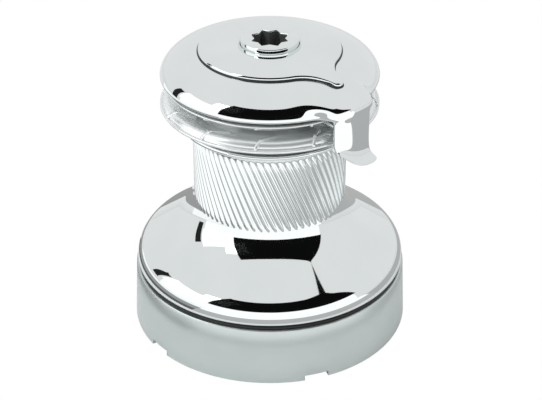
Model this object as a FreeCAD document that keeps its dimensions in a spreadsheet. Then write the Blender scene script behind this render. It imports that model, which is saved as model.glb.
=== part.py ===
import FreeCAD, Part
import math
import os

import Sketcher
from FreeCAD import Placement, Rotation, Vector

# Self-tailing winch for a yacht's deck, in millimetres.
# The origin is the centre of the base's underside and +Z is the drum's axis.
# The user stands at -Y, so angles are turned anticlockwise from +X seen from above.

doc = FreeCAD.newDocument("winch")
sheet = doc.addObject("Spreadsheet::Sheet", "Sizes")

DRIVING_SIZES = [
    # Running fits and seams
    ("running_gap", 0.05, "radial clearance of a turning fit"),
    ("side_gap", 0.3, "axial clearance between turning faces"),
    ("open_gap", 0.6, "clearance beside a piece that only passes"),
    # Base casting and its skirt
    ("floor_radius", 86.0, "base casting's foot"),
    ("floor_thick", 7.0, "base casting's foot"),
    ("pot_radius", 70.0, "wall round the gears, outside"),
    ("pot_wall", 4.0, "wall round the gears"),
    ("pot_top", 36.0, "wall round the gears, height"),
    ("mount_circle", 78.0, "radius that the deck bolts stand on"),
    ("mount_hole", 4.25, "deck bolt clearance hole, radius"),
    ("mount_count", 5, "deck bolts"),
    ("skirt_foot", 91.5, "skirt's radius at the deck"),
    ("skirt_brow", 89.6, "skirt's radius at its top edge"),
    ("skirt_top", 39.2, "skirt's height"),
    ("skirt_chamfer", 0.8, "skirt's top edge"),
    ("skirt_ledge", 78.5, "inner radius of the ledge under the seal"),
    ("skirt_lip", 2.2, "thickness of ledge and foot lip"),
    ("lip_radius", 82.4, "inner radius of the foot lip"),
    ("drain_wide", 16.0, "drain notch, along the rim"),
    ("drain_high", 3.5, "drain notch, height"),
    ("drain_angle", -70.7, "where the first drain notch points"),
    ("seal_radius", 88.0, "labyrinth seal, outside"),
    ("seal_thick", 2.0, "labyrinth seal, height"),
    # Centre stem
    ("stem_radius", 21.0, "stem tube, outside"),
    ("stem_bore", 13.1, "stem tube, bore for the bushes"),
    ("stem_top", 186.0, "stem tube, height of its end"),
    ("stem_flange", 44.5, "radius of the plate over the gears"),
    ("plate_base", 57.0, "underside of the plate over the gears"),
    ("plate_thick", 5.0, "plate over the gears"),
    ("leg_circle", 36.0, "radius that the stem's legs stand on"),
    ("leg_radius", 6.0, "stem's legs"),
    ("head_bore", 17.2, "stem's upper bore, round the handle socket"),
    ("head_floor", 157.0, "bottom of the stem's upper bore"),
    # Drive shaft, pawls and gears
    ("shaft_radius", 10.5, "drive shaft in its bushes"),
    ("journal_radius", 8.0, "drive shaft's foot"),
    ("shaft_top", 172.0, "drive shaft's upper end"),
    ("bush_high", 14.0, "shaft bush"),
    ("centre_distance", 36.0, "main axis to output gear pin"),
    ("second_base", 8.5, "underside of the second-speed gears"),
    ("second_high", 10.0, "second-speed gears"),
    ("first_base", 20.5, "underside of the first-speed gears"),
    ("first_high", 9.0, "first-speed gears"),
    ("collar_radius", 13.0, "pawl carriers"),
    ("collar_high", 2.5, "journal under each pawl carrier"),
    ("carrier_high", 6.3, "pawl carriers"),
    ("ratchet_tip", 14.5, "inner ratchet, smallest radius"),
    ("ratchet_root", 16.2, "inner ratchet, largest radius"),
    ("pin_radius", 5.0, "output gear pin"),
    ("idler_pin_radius", 4.5, "idler gear pin"),
    ("pin_depth", 5.0, "how deep the pins sit in the foot"),
    ("washer_thick", 1.0, "thrust washers"),
    ("output_base", 31.0, "underside of the output pinion's coarse teeth"),
    ("output_top", 56.0, "upper end of the output pinion"),
    ("ring_base", 44.0, "underside of the ring gear"),
    ("ring_high", 12.0, "ring gear"),
    ("ring_radius", 56.0, "ring gear, outside"),
    # Drum
    ("drum_base", 42.3, "underside of the drum's flange"),
    ("flange_radius", 88.6, "drum's flange"),
    ("flange_wall", 3.8, "drum's flange"),
    ("grip_radius", 49.7, "over the grip's ribs"),
    ("grip_root", 47.0, "foot of the grip's ribs, inside the wall"),
    ("grip_wall", 48.0, "drum's wall beyond the ribs' ends"),
    ("grip_base", 88.0, "where the ribs begin"),
    ("grip_top", 135.5, "where the ribs end"),
    ("grip_ribs", 68, "ribs round the grip"),
    ("grip_lean", 22.5, "ribs' angle from upright, degrees"),
    ("cone_start", 52.2, "height where the flank leaves the flange"),
    ("cone_end", 80.0, "height where the flank meets the grip"),
    ("shoulder_fillet", 15.6, "flange to flank"),
    ("foot_fillet", 9.0, "flank to grip"),
    ("crown_radius", 58.5, "drum's upper edge"),
    ("crown_base", 147.0, "drum's upper edge, height"),
    ("neck_radius", 44.0, "neck that carries the jaws"),
    ("neck_top", 164.5, "neck's upper end"),
    ("neck_bore", 33.0, "neck's bore"),
    ("race_radius", 29.0, "drum's bearing bores"),
    ("relief_radius", 41.5, "drum's bore between the bearings"),
    ("lower_race_top", 84.0, "upper end of the lower bearing bore"),
    ("upper_race_base", 127.0, "lower end of the upper bearing bore"),
    ("upper_race_top", 150.0, "upper end of the upper bearing bore"),
    # Roller bearings
    ("roller_radius", 3.92, "rollers"),
    ("roller_high", 14.0, "rollers"),
    ("roller_count", 12, "rollers in a bearing"),
    ("cage_wall", 3.0, "bearing cage"),
    ("cage_rim", 2.2, "cage above and below its rollers"),
    # Self-tailing jaws
    ("jaw_radius", 70.0, "lower jaw"),
    ("jaw_base", 151.5, "lower jaw's underside at the neck"),
    ("jaw_rim_base", 155.4, "lower jaw's rim, underside"),
    ("jaw_rim_top", 157.6, "lower jaw's rim, top"),
    ("jaw_bend_radius", 65.0, "ridge inside the lower jaw's rim"),
    ("jaw_bend_top", 161.6, "ridge inside the lower jaw's rim"),
    ("jaw_root_radius", 51.0, "root of the rope groove"),
    ("jaw_root_top", 157.6, "lower jaw at the root of the groove"),
    ("jaw_travel", 3.0, "how far the lower jaw gives under the rope"),
    ("jaw_ribs", 12, "gripping ribs on each jaw"),
    ("jaw_rib_high", 1.2, "gripping ribs"),
    ("jaw_rib_wide", 1.8, "gripping ribs"),
    ("jaw_rib_skew", 34.5, "gripping ribs' lean from the radius, degrees"),
    ("jaw_rib_angle", -97.6, "where one gripping rib meets the rim"),
    ("jaw_screw_circle", 38.5, "radius that the upper jaw's screws stand on"),
    ("key_reach", 1.8, "neck keys, beyond the neck"),
    ("key_wide", 6.0, "neck keys"),
    ("key_angle", 30.0, "where the first neck key points"),
    ("upper_jaw_radius", 67.0, "upper jaw"),
    ("upper_jaw_rim", 171.2, "upper jaw's lower edge at its rim"),
    ("upper_jaw_plate", 4.0, "upper jaw where it is bolted down"),
    ("upper_jaw_skin", 2.2, "upper jaw's dish"),
    ("spring_inner", 46.8, "wave spring"),
    ("spring_outer", 52.0, "wave spring"),
    ("spring_sheet", 0.8, "wave spring's strip"),
    ("spring_waves", 5, "wave spring"),
    # Stripper arm, its cover and the cover plate
    ("cover_radius", 69.6, "cover at its widest"),
    ("cover_wide_z", 177.0, "height where the cover is widest"),
    ("cover_rim_radius", 69.0, "cover's lower edge"),
    ("cover_rim", 175.2, "cover's lower edge"),
    ("cover_skin", 3.0, "cover's wall"),
    ("brow_radius", 55.0, "where the cover's top turns down"),
    ("brow_z", 189.9, "where the cover's top turns down"),
    ("crest_z", 193.7, "cover's top at the socket"),
    ("socket_hole", 18.9, "hole round the handle socket"),
    ("hub_radius", 27.0, "arm support's hub"),
    ("support_radius", 37.0, "arm support's plate"),
    ("support_base", 176.0, "arm support's plate, underside"),
    ("support_thick", 4.0, "arm support's plate"),
    ("support_foot", 172.6, "arm support's hub, lower end"),
    ("arm_angle", -47.0, "where the arm and the plate's tail point"),
    ("arm_reach", 78.0, "arm's outer face"),
    ("arm_thick", 4.8, "arm"),
    ("arm_left", 18.0, "arm's edge on the left of its middle"),
    ("arm_right", 12.9, "arm's edge on the right of its middle"),
    ("toe_low", 133.6, "lowest point of the arm's toe"),
    ("toe_reach", 19.6, "toe's point from the arm's middle"),
    ("stripper_tip", 52.5, "how far in the stripper's tongue reaches"),
    ("plate_circle", 45.2, "cover plate's round part"),
    ("plate_rise", 2.9, "cover plate's thickness"),
    ("tail_reach", 59.0, "centre of the tail's round end"),
    ("tail_tip", 4.2, "radius of the tail's round end"),
    ("tail_waist", 26.0, "radius of the tail's hollow sides"),
    # Handle socket
    ("socket_collar", 18.5, "socket's collar above the plate"),
    ("socket_body", 16.8, "socket's body in the stem"),
    ("socket_top", 200.3, "top of the socket's collar"),
    ("socket_shoulder", 187.0, "underside of the socket's collar"),
    ("socket_foot", 158.0, "lower end of the socket's body"),
    ("star_flats", 17.6, "across the flats of each square in the star"),
    ("star_depth", 25.0, "depth of the star"),
    # Fasteners
    ("stem_screw", 3.0, "stem screws"),
    ("ring_screw", 1.6, "ring gear screws"),
    ("jaw_screw", 2.5, "upper jaw screws"),
    ("cover_screw", 2.0, "cover screws"),
    ("cover_screw_circle", 32.4, "radius that the cover screws stand on"),
    ("skirt_screw", 1.3, "skirt screws"),
]

# Tooth counts of the train: the drum's ring is cut inside its rim.
SHAFT_TEETH = 15
SECOND_TEETH = 33
FIRST_TEETH = 27
IDLER_TEETH = 27
OUTPUT_FINE_TEETH = 15
OUTPUT_COARSE_TEETH = 12
RING_TEETH = 48
RATCHET_TEETH = 12
OUTPUT_ANGLE = 90.0
GRIP_STEPS = 3
LEG_ANGLES = (-90.0, 15.0, 195.0)
FULL_TURN = 360.0


class Size:
    """A length that knows its number and the sheet formula that it comes from."""

    def __init__(self, number, formula):
        self.number = float(number)
        self.formula = formula

    def joined(self, sign, other, number):
        other_formula = other.formula if isinstance(other, Size) else repr(other)
        return Size(number, "(%s %s %s)" % (self.formula, sign, other_formula))

    def __add__(self, other):
        return self.joined("+", other, self.number + float(other))

    def __sub__(self, other):
        return self.joined("-", other, self.number - float(other))

    def __mul__(self, other):
        return self.joined("*", other, self.number * float(other))

    def __truediv__(self, other):
        return self.joined("/", other, self.number / float(other))

    def __neg__(self):
        return Size(-self.number, "(0 - %s)" % self.formula)

    def __float__(self):
        return self.number


class Sizes:
    """Every driving size of the sheet, by name."""


S = Sizes()
for row, (alias, number, meaning) in enumerate(DRIVING_SIZES, start=1):
    sheet.set("A%d" % row, meaning)
    sheet.set("B%d" % row, str(number))
    sheet.setAlias("B%d" % row, alias)
    setattr(S, alias, Size(number, "Sizes." + alias))
doc.recompute()


# Helpers for sketches, turned pieces, prisms and patterns


def bind(thing, name, size):
    """Set one property of an object and tie it to the sheet."""
    thing.setExpression(name, size.formula)


def vector(radius, height):
    return Vector(float(radius), float(height), 0)


def new_body(name):
    body = doc.addObject("PartDesign::Body", name)
    body.Label = name
    return body


def new_sketch(body, plane, name):
    """A sketch on one of the body's own origin planes."""
    sketch = body.newObject("Sketcher::SketchObject", name)
    for feature in body.Origin.OriginFeatures:
        if feature.Role == plane:
            sketch.AttachmentSupport = (feature, "")
    sketch.MapMode = "FlatFace"
    return sketch


def raise_sketch(sketch, height):
    """Lift a sketch off its plane by a size."""
    sketch.AttachmentOffset = Placement(Vector(0, 0, float(height)), Rotation())
    bind(sketch, "AttachmentOffset.Base.z", height)


def pin_point(sketch, geometry, which, point):
    """Tie a point of the sketch to its two sizes."""
    for kind, value in (("DistanceX", point[0]), ("DistanceY", point[1])):
        index = sketch.addConstraint(Sketcher.Constraint(kind, -1, 1, geometry, which, float(value)))
        if isinstance(value, Size):
            sketch.setExpression("Constraints[%d]" % index, value.formula)


def turns_left(start, middle, end):
    along = vector(*middle) - vector(*start)
    across = vector(*end) - vector(*start)
    return along.x * across.y - along.y * across.x > 0


def draw_outline(sketch, outline):
    """Draw a closed outline of points and arcs.

    A pair is a corner, and a triple ("arc", middle, end) is an arc that
    leaves the last corner, passes through middle and stops at end.
    """
    first = outline[0]
    start = first
    last_edge = None
    for step in list(outline[1:]) + [first]:
        if step[0] == "arc":
            middle, end = step[1], step[2]
            if turns_left(start, middle, end):
                arc, head, tail = Part.Arc(vector(*start), vector(*middle), vector(*end)), 1, 2
            else:
                arc, head, tail = Part.Arc(vector(*end), vector(*middle), vector(*start)), 2, 1
            edge = sketch.addGeometry(arc, False)
            mark = sketch.addGeometry(Part.Point(vector(*middle)), True)
            pin_point(sketch, mark, 1, middle)
            sketch.addConstraint(Sketcher.Constraint("PointOnObject", mark, 1, edge))
        else:
            end = step
            edge = sketch.addGeometry(Part.LineSegment(vector(*start), vector(*end)), False)
            head, tail = 1, 2
        pin_point(sketch, edge, head, start)
        if last_edge is not None:
            sketch.addConstraint(Sketcher.Constraint("Coincident", last_edge[0], last_edge[1], edge, head))
        else:
            first_edge = (edge, head)
        last_edge = (edge, tail)
        start = end
    sketch.addConstraint(Sketcher.Constraint("Coincident", last_edge[0], last_edge[1], *first_edge))


def draw_circle(sketch, centre, radius):
    circle = Part.Circle(vector(*centre), Vector(0, 0, 1), float(radius))
    edge = sketch.addGeometry(circle, False)
    pin_point(sketch, edge, 3, centre)
    index = sketch.addConstraint(Sketcher.Constraint("Radius", edge, float(radius)))
    if isinstance(radius, Size):
        sketch.setExpression("Constraints[%d]" % index, radius.formula)


def box_outline(low, high):
    return [low, (high[0], low[1]), high, (low[0], high[1])]


def polar(radius, degrees):
    """A point at an angle, as two sizes."""
    angle = math.radians(float(degrees))
    return (radius * round(math.cos(angle), 9), radius * round(math.sin(angle), 9))


def turned(name, outline):
    """A turned body: an outline of (radius, height) corners about the Z axis."""
    body = new_body(name)
    sketch = new_sketch(body, "XZ_Plane", name + "_section")
    draw_outline(sketch, outline)
    turn = body.newObject("PartDesign::Revolution", name + "_turn")
    turn.Profile = sketch
    turn.ReferenceAxis = (sketch, ["V_Axis"])
    turn.Angle = FULL_TURN
    doc.recompute()
    return body


def add_pad(body, name, draw, base, length):
    """Add a prism that stands on a height and rises by a length."""
    sketch = new_sketch(body, "XY_Plane", name + "_outline")
    raise_sketch(sketch, base)
    draw(sketch)
    pad = body.newObject("PartDesign::Pad", name)
    pad.Profile = sketch
    pad.Length = float(length)
    bind(pad, "Length", length)
    doc.recompute()
    return pad


def add_pocket(body, name, draw, base, length):
    """Cut a prism that starts at a height and rises by a length."""
    volume = body.Shape.Volume
    sketch = new_sketch(body, "XY_Plane", name + "_outline")
    raise_sketch(sketch, base)
    draw(sketch)
    pocket = body.newObject("PartDesign::Pocket", name)
    pocket.Profile = sketch
    pocket.Reversed = True
    pocket.Length = float(length)
    bind(pocket, "Length", length)
    doc.recompute()
    if body.Shape.Volume >= volume:
        raise ValueError(name + " cuts nothing")
    return pocket


def repeat_round(body, feature, count):
    """Repeat a pad or pocket about the Z axis."""
    pattern = body.newObject("PartDesign::PolarPattern", feature.Name + "_round")
    pattern.Originals = [feature]
    pattern.Axis = (feature.Profile[0], ["N_Axis"])
    pattern.Angle = FULL_TURN
    pattern.Occurrences = int(float(count))
    bind(pattern, "Occurrences", count)
    body.Tip = pattern
    doc.recompute()
    return pattern


def round_edges(body, name, rings, radius):
    """Round the circular edges that lie at the given (radius, height) places."""
    base = body.Tip
    names = []
    for index, edge in enumerate(base.Shape.Edges, start=1):
        if not hasattr(edge.Curve, "Radius"):
            continue
        for ring_radius, ring_height in rings:
            same_radius = abs(edge.Curve.Radius - float(ring_radius)) < 0.01
            same_height = abs(edge.Curve.Center.z - float(ring_height)) < 0.01
            if same_radius and same_height:
                names.append("Edge%d" % index)
    fillet = body.newObject("PartDesign::Fillet", name)
    fillet.Base = (base, names)
    fillet.Radius = float(radius)
    bind(fillet, "Radius", radius)
    body.Tip = fillet
    doc.recompute()
    return fillet


def feature(name, shape):
    """A sub-part whose shape is worked out here from the sheet's sizes."""
    part = doc.addObject("Part::Feature", name)
    part.Label = name
    part.Shape = shape
    return part


def rod(radius, base, top, centre=(0, 0)):
    place = Vector(float(centre[0]), float(centre[1]), float(base))
    return Part.makeCylinder(float(radius), float(top) - float(base), place)


def tube(inner, outer, base, top, centre=(0, 0)):
    return rod(outer, base, top, centre).cut(rod(inner, base, top, centre))


def prism_shape(corners, base, top):
    """An upright prism from (x, y) corners."""
    points = [Vector(float(x), float(y), float(base)) for x, y in corners]
    face = Part.Face(Part.makePolygon(points + points[:1]))
    return face.extrude(Vector(0, 0, float(top) - float(base)))


def about_axis(shape, degrees):
    """A copy of a shape, turned about the Z axis."""
    copy = shape.copy()
    copy.rotate(Vector(0, 0, 0), Vector(0, 0, 1), float(degrees))
    return copy


def all_round(shape, count, start=0.0):
    """Copies of a shape, spread evenly about the Z axis."""
    number = int(float(count))
    return [about_axis(shape, float(start) + k * FULL_TURN / number) for k in range(number)]


# Base casting, skirt, seal


def make_base_housing():
    floor, wall_inner = S.floor_radius, S.pot_radius - S.pot_wall
    body = turned("base_housing", [
        (S.journal_radius + S.running_gap, S.floor_thick - S.pin_depth),
        (S.journal_radius + S.running_gap, S.floor_thick),
        (wall_inner, S.floor_thick),
        (wall_inner, S.pot_top),
        (S.pot_radius, S.pot_top),
        (S.pot_radius, S.floor_thick),
        (floor, S.floor_thick),
        (floor, S.floor_thick * 0),
        (S.floor_thick * 0, S.floor_thick * 0),
        (S.floor_thick * 0, S.floor_thick - S.pin_depth),
    ])
    hole = add_pocket(body, "mount_hole_cut",
                      lambda sketch: draw_circle(sketch, polar(S.mount_circle, mount_angle()), S.mount_hole),
                      S.floor_thick * 0, S.floor_thick)
    repeat_round(body, hole, S.mount_count)
    low = (S.lip_radius - S.skirt_lip, S.drain_wide / -2)
    high = (floor + S.skirt_lip, S.drain_wide / 2)
    drain = add_pocket(body, "drain_cut",
                       lambda sketch: draw_outline(sketch, box_outline(low, high)),
                       S.floor_thick * 0, S.floor_thick)
    turn_sketch(drain.Profile[0], S.drain_angle)
    repeat_round(body, drain, S.mount_count)
    for number, centre in enumerate((OUTPUT_CENTRE, IDLER_CENTRE)):
        add_pocket(body, "pin_seat_%d" % number,
                   lambda sketch: draw_circle(sketch, centre, S.pin_radius),
                   S.floor_thick - S.pin_depth, S.pin_depth)
    for number, angle in enumerate(LEG_ANGLES):
        seat = add_pocket(body, "screw_hole_%d" % number,
                          lambda sketch: draw_circle(sketch, polar(S.leg_circle, angle), S.stem_screw),
                          S.floor_thick * 0, S.floor_thick)
        seat = add_pocket(body, "screw_head_seat_%d" % number,
                          lambda sketch: draw_circle(sketch, polar(S.leg_circle, angle), S.stem_screw * 1.8),
                          S.floor_thick * 0, S.stem_screw)
        body.Tip = seat
    return body


def turn_sketch(sketch, degrees):
    """Turn a sketch about the Z axis by a size in degrees."""
    place = sketch.AttachmentOffset
    sketch.AttachmentOffset = Placement(place.Base, Rotation(Vector(0, 0, 1), float(degrees)))
    bind(sketch, "AttachmentOffset.Rotation.Angle", degrees)
    doc.recompute()


def mount_angle():
    """The deck bolts stand halfway between the drain notches."""
    return float(S.drain_angle) + FULL_TURN / float(S.mount_count) / 2


# Places of the gear pins: the two trains share one centre distance.

FINE_MODULE = S.centre_distance / ((SHAFT_TEETH + SECOND_TEETH) / 2)
COARSE_MODULE = S.centre_distance / ((RING_TEETH - OUTPUT_COARSE_TEETH) / 2)


def pitch_radius(module, teeth):
    return module * (teeth / 2)


def idler_place():
    """The idler meshes with the first-speed gear and the output gear."""
    reach = float(pitch_radius(FINE_MODULE, FIRST_TEETH + IDLER_TEETH))
    other = float(pitch_radius(FINE_MODULE, IDLER_TEETH + OUTPUT_FINE_TEETH))
    base = float(S.centre_distance)
    turn = math.degrees(math.acos((reach ** 2 + base ** 2 - other ** 2) / (2 * reach * base)))
    angle = OUTPUT_ANGLE + turn
    return polar(pitch_radius(FINE_MODULE, FIRST_TEETH + IDLER_TEETH), angle), angle


OUTPUT_CENTRE = polar(S.centre_distance, OUTPUT_ANGLE)
IDLER_CENTRE, IDLER_ANGLE = idler_place()


def make_base_skirt():
    inner_brow = S.skirt_brow - S.flange_wall
    body = turned("base_skirt", [
        (S.skirt_foot, S.skirt_top * 0),
        (S.skirt_brow, S.skirt_top - S.skirt_chamfer),
        (S.skirt_brow - S.skirt_chamfer, S.skirt_top),
        (S.skirt_ledge, S.skirt_top),
        (S.skirt_ledge, S.skirt_top - S.skirt_lip),
        (inner_brow, S.skirt_top - S.skirt_lip),
        (S.floor_radius, S.floor_thick + S.skirt_lip),
        (S.lip_radius, S.floor_thick + S.skirt_lip),
        (S.lip_radius, S.floor_thick),
        (S.floor_radius, S.floor_thick),
        (S.floor_radius, S.skirt_top * 0),
    ])
    low = (S.floor_radius - S.skirt_lip, S.drain_wide / -2)
    high = (S.skirt_foot + S.skirt_lip, S.drain_wide / 2)
    notch = add_pocket(body, "drain_notch",
                       lambda sketch: draw_outline(sketch, box_outline(low, high)),
                       S.skirt_top * 0, S.drain_high)
    turn_sketch(notch.Profile[0], S.drain_angle)
    repeat_round(body, notch, S.mount_count)
    lip_middle = (S.lip_radius + S.floor_radius) / 2
    hole = add_pocket(body, "lip_hole",
                      lambda sketch: draw_circle(sketch, polar(lip_middle, lip_screw_angle()), S.skirt_screw),
                      S.floor_thick, S.skirt_lip)
    repeat_round(body, hole, S.mount_count)
    return body


def lip_screw_angle():
    return float(S.drain_angle) + FULL_TURN / float(S.mount_count) / 4


def make_skirt_screws():
    middle = (S.lip_radius + S.floor_radius) / 2
    lip_top = S.floor_thick + S.skirt_lip
    centre = polar(middle, lip_screw_angle())
    screw = rod(S.skirt_screw, S.floor_thick, lip_top, centre)
    screw = screw.fuse(rod(S.skirt_screw * 1.25, lip_top, lip_top + S.skirt_screw, centre))
    return feature("skirt_screws", Part.Compound(all_round(screw, S.mount_count)))


def make_labyrinth_seal():
    return turned("labyrinth_seal", [
        (S.skirt_ledge, S.skirt_top),
        (S.seal_radius, S.skirt_top),
        (S.seal_radius, S.skirt_top + S.seal_thick * 0.7),
        (S.seal_radius - S.seal_thick * 0.3, S.skirt_top + S.seal_thick),
        (S.skirt_ledge, S.skirt_top + S.seal_thick),
    ])


# Centre stem, its legs, pins, washers and bushes


def make_stem():
    plate_top = S.plate_base + S.plate_thick
    body = turned("stem", [
        (S.stem_bore, S.plate_base),
        (S.stem_flange, S.plate_base),
        (S.stem_flange, plate_top),
        (S.stem_radius, plate_top),
        (S.stem_radius, S.stem_top),
        (S.head_bore, S.stem_top),
        (S.head_bore, S.head_floor),
        (S.stem_bore, S.head_floor),
    ])
    for number, angle in enumerate(LEG_ANGLES):
        centre = polar(S.leg_circle, angle)
        add_pad(body, "leg_%d" % number, lambda sketch: draw_circle(sketch, centre, S.leg_radius),
                S.floor_thick, S.plate_base - S.floor_thick)
        add_pocket(body, "leg_thread_%d" % number, lambda sketch: draw_circle(sketch, centre, S.stem_screw),
                   S.floor_thick, S.stem_screw * 4)
    add_pocket(body, "output_pin_hole", lambda sketch: draw_circle(sketch, OUTPUT_CENTRE, S.pin_radius),
               S.plate_base, S.plate_thick)
    return body


def make_stem_screws():
    screws = []
    for angle in LEG_ANGLES:
        centre = polar(S.leg_circle, angle)
        head = rod(S.stem_screw * 1.7, S.side_gap, S.stem_screw, centre)
        head = head.cut(rod(S.stem_screw * 0.8, S.side_gap, S.stem_screw * 0.6, centre))
        screws.append(head.fuse(rod(S.stem_screw, S.stem_screw, S.floor_thick + S.stem_screw * 4, centre)))
    return feature("stem_screws", Part.Compound(screws))


def make_pins():
    pin_foot = S.floor_thick - S.pin_depth
    plate_top = S.plate_base + S.plate_thick
    output = feature("output_gear_pin", rod(S.pin_radius, pin_foot, plate_top, OUTPUT_CENTRE))
    step = S.first_base - S.side_gap
    idler_top = S.first_base + S.first_high
    clip_base = idler_top + S.side_gap
    clip_top = clip_base + S.washer_thick
    idler = rod(S.pin_radius, pin_foot, step, IDLER_CENTRE)
    idler = idler.fuse(rod(S.idler_pin_radius, step, clip_top + S.washer_thick, IDLER_CENTRE))
    idler = feature("idler_gear_pin", idler.removeSplitter())
    clip = tube(S.idler_pin_radius, S.idler_pin_radius * 1.7, clip_base, clip_top, IDLER_CENTRE)
    return [output, idler, feature("idler_clip", clip)]


def make_washers():
    floor = S.floor_thick
    under_output = tube(S.pin_radius + S.running_gap, S.collar_radius, floor, floor + S.washer_thick, OUTPUT_CENTRE)
    under_shaft = tube(S.journal_radius + S.open_gap, S.shaft_radius, floor, floor + S.washer_thick)
    plate_top = S.plate_base + S.plate_thick
    drum_washer = tube(S.stem_radius, S.leg_circle, plate_top, plate_top + S.washer_thick * 1.6)
    return [
        feature("gear_thrust_washers", Part.Compound([under_output, under_shaft])),
        feature("drum_thrust_washer", drum_washer),
    ]


def make_shaft_bushes():
    inner, outer = S.shaft_radius + S.running_gap, S.stem_bore
    lower = tube(inner, outer, S.plate_base, S.plate_base + S.bush_high)
    upper = tube(inner, outer, S.head_floor - S.bush_high, S.head_floor)
    return feature("shaft_bushes", Part.Compound([lower, upper]))


# Gear train


def tooth_points(teeth, module, phase, tip_sign):
    """Straight-sided teeth; tip_sign is 1 for an outer gear and -1 for an inner one."""
    pitch = float(pitch_radius(module, teeth))
    tip = pitch + tip_sign * 0.8 * float(module)
    root = pitch - tip_sign * 1.2 * float(module)
    half_pitch = math.degrees(0.42 * math.pi / teeth)
    slope = math.degrees(math.tan(math.radians(20)) / pitch)
    half_tip = half_pitch - 0.8 * float(module) * slope
    half_root = half_pitch + 1.2 * float(module) * slope
    points = []
    for tooth in range(teeth):
        middle = phase + tooth * FULL_TURN / teeth
        for radius, turn in ((root, -half_root), (tip, -half_tip), (tip, half_tip), (root, half_root)):
            angle = math.radians(middle + turn)
            points.append((radius * math.cos(angle), radius * math.sin(angle)))
    return points


def mesh_phase(phase, teeth, angle, other_teeth, inner=False):
    """The phase that puts a gap of the second gear on a tooth of the first."""
    part = ((angle - phase) / (FULL_TURN / teeth)) % 1.0
    if inner:
        return angle - (part + 0.5) * FULL_TURN / other_teeth
    return angle + 180.0 - (0.5 - part) * FULL_TURN / other_teeth


def gear_shape(teeth, module, base, height, phase):
    return prism_shape(tooth_points(teeth, module, phase, 1), base, float(base) + float(height))


def ratchet_points():
    """Saw teeth that face inwards, each with a steep face for a pawl."""
    points = []
    for tooth in range(RATCHET_TEETH):
        angle = PAWL_FACE + tooth * FULL_TURN / RATCHET_TEETH
        points.append(polar(S.ratchet_root, angle - FACE_SLANT / 2))
        points.append(polar(S.ratchet_tip, angle + FACE_SLANT / 2))
    return points


# A tooth's holding face stands square to the line from the pawl's tip to its pivot.
PAWL_FACE = 38.3
FACE_SLANT = 7.4
PAWL_PIVOT = 9.9
PAWL_EYE = 1.9
PAWL_OUTLINE = ((8.2, 0.6), (11.7, 0.4), (12.9, 5.2), (12.38, 9.33), (9.96, 8.66), (9.0, 4.0))
POCKET_OUTLINE = ((7.9, -0.4), (7.6, 3.9), (6.9, 8.9), (6.9, 10.6), (14.0, 10.6), (14.0, -0.4))
FOLDED = 14.0


def pawl_shape(base, height):
    pivot = (PAWL_PIVOT, 0.0)
    return prism_shape(PAWL_OUTLINE, base, base + height).fuse(rod(PAWL_EYE, base, base + height, pivot)).removeSplitter()


def pawl_pocket(base, height):
    pocket = prism_shape(POCKET_OUTLINE, base, base + height)
    return pocket.fuse(rod(PAWL_EYE + float(S.running_gap), base, base + height, (PAWL_PIVOT, 0.0)))


def pawl_carrier(collar_base):
    """A collar that a ratchet gear runs on, and above it two pawl pockets."""
    carrier_base = float(collar_base) + float(S.collar_high)
    carrier_top = carrier_base + float(S.carrier_high)
    carrier = rod(S.collar_radius, collar_base, carrier_top)
    for pocket in all_round(pawl_pocket(carrier_base, float(S.carrier_high)), 2):
        carrier = carrier.cut(pocket)
    return carrier


def ratchet_gear(teeth, base, height, phase):
    """A gear with a bearing web below and a ratchet ring above it."""
    web_top = base + S.collar_high
    gear = gear_shape(teeth, FINE_MODULE, base, height, phase)
    gear = gear.cut(rod(S.collar_radius + S.running_gap, base, web_top))
    return gear.cut(prism_shape(ratchet_points(), web_top, base + height))


SECOND_PHASE = mesh_phase(0.0, SHAFT_TEETH, OUTPUT_ANGLE, SECOND_TEETH)
IDLER_PHASE = mesh_phase(0.0, FIRST_TEETH, IDLER_ANGLE, IDLER_TEETH)


def output_direction():
    """The angle from the idler's pin to the output pin."""
    across = float(OUTPUT_CENTRE[0]) - float(IDLER_CENTRE[0])
    along = float(OUTPUT_CENTRE[1]) - float(IDLER_CENTRE[1])
    return math.degrees(math.atan2(along, across))


OUTPUT_PHASE = mesh_phase(IDLER_PHASE, IDLER_TEETH, output_direction(), OUTPUT_FINE_TEETH)
RING_PHASE = mesh_phase(0.0, OUTPUT_COARSE_TEETH, OUTPUT_ANGLE, RING_TEETH, inner=True)


def shifted(shape, centre):
    copy = shape.copy()
    copy.translate(Vector(float(centre[0]), float(centre[1]), 0))
    return copy


def make_drive_shaft():
    collar_base = S.first_base
    carrier_top = collar_base + S.collar_high + S.carrier_high
    shaft = rod(S.journal_radius, S.floor_thick - S.pin_depth + S.side_gap, S.second_base)
    shaft = shaft.fuse(gear_shape(SHAFT_TEETH, FINE_MODULE, S.second_base, S.second_high, 0.0))
    neck = pitch_radius(FINE_MODULE, SHAFT_TEETH) - FINE_MODULE * 1.3
    shaft = shaft.fuse(rod(neck, S.second_base, collar_base))
    shaft = shaft.fuse(pawl_carrier(collar_base))
    shaft = shaft.fuse(rod(S.shaft_radius, carrier_top, S.shaft_top))
    return feature("drive_shaft", shaft.removeSplitter())


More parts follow.
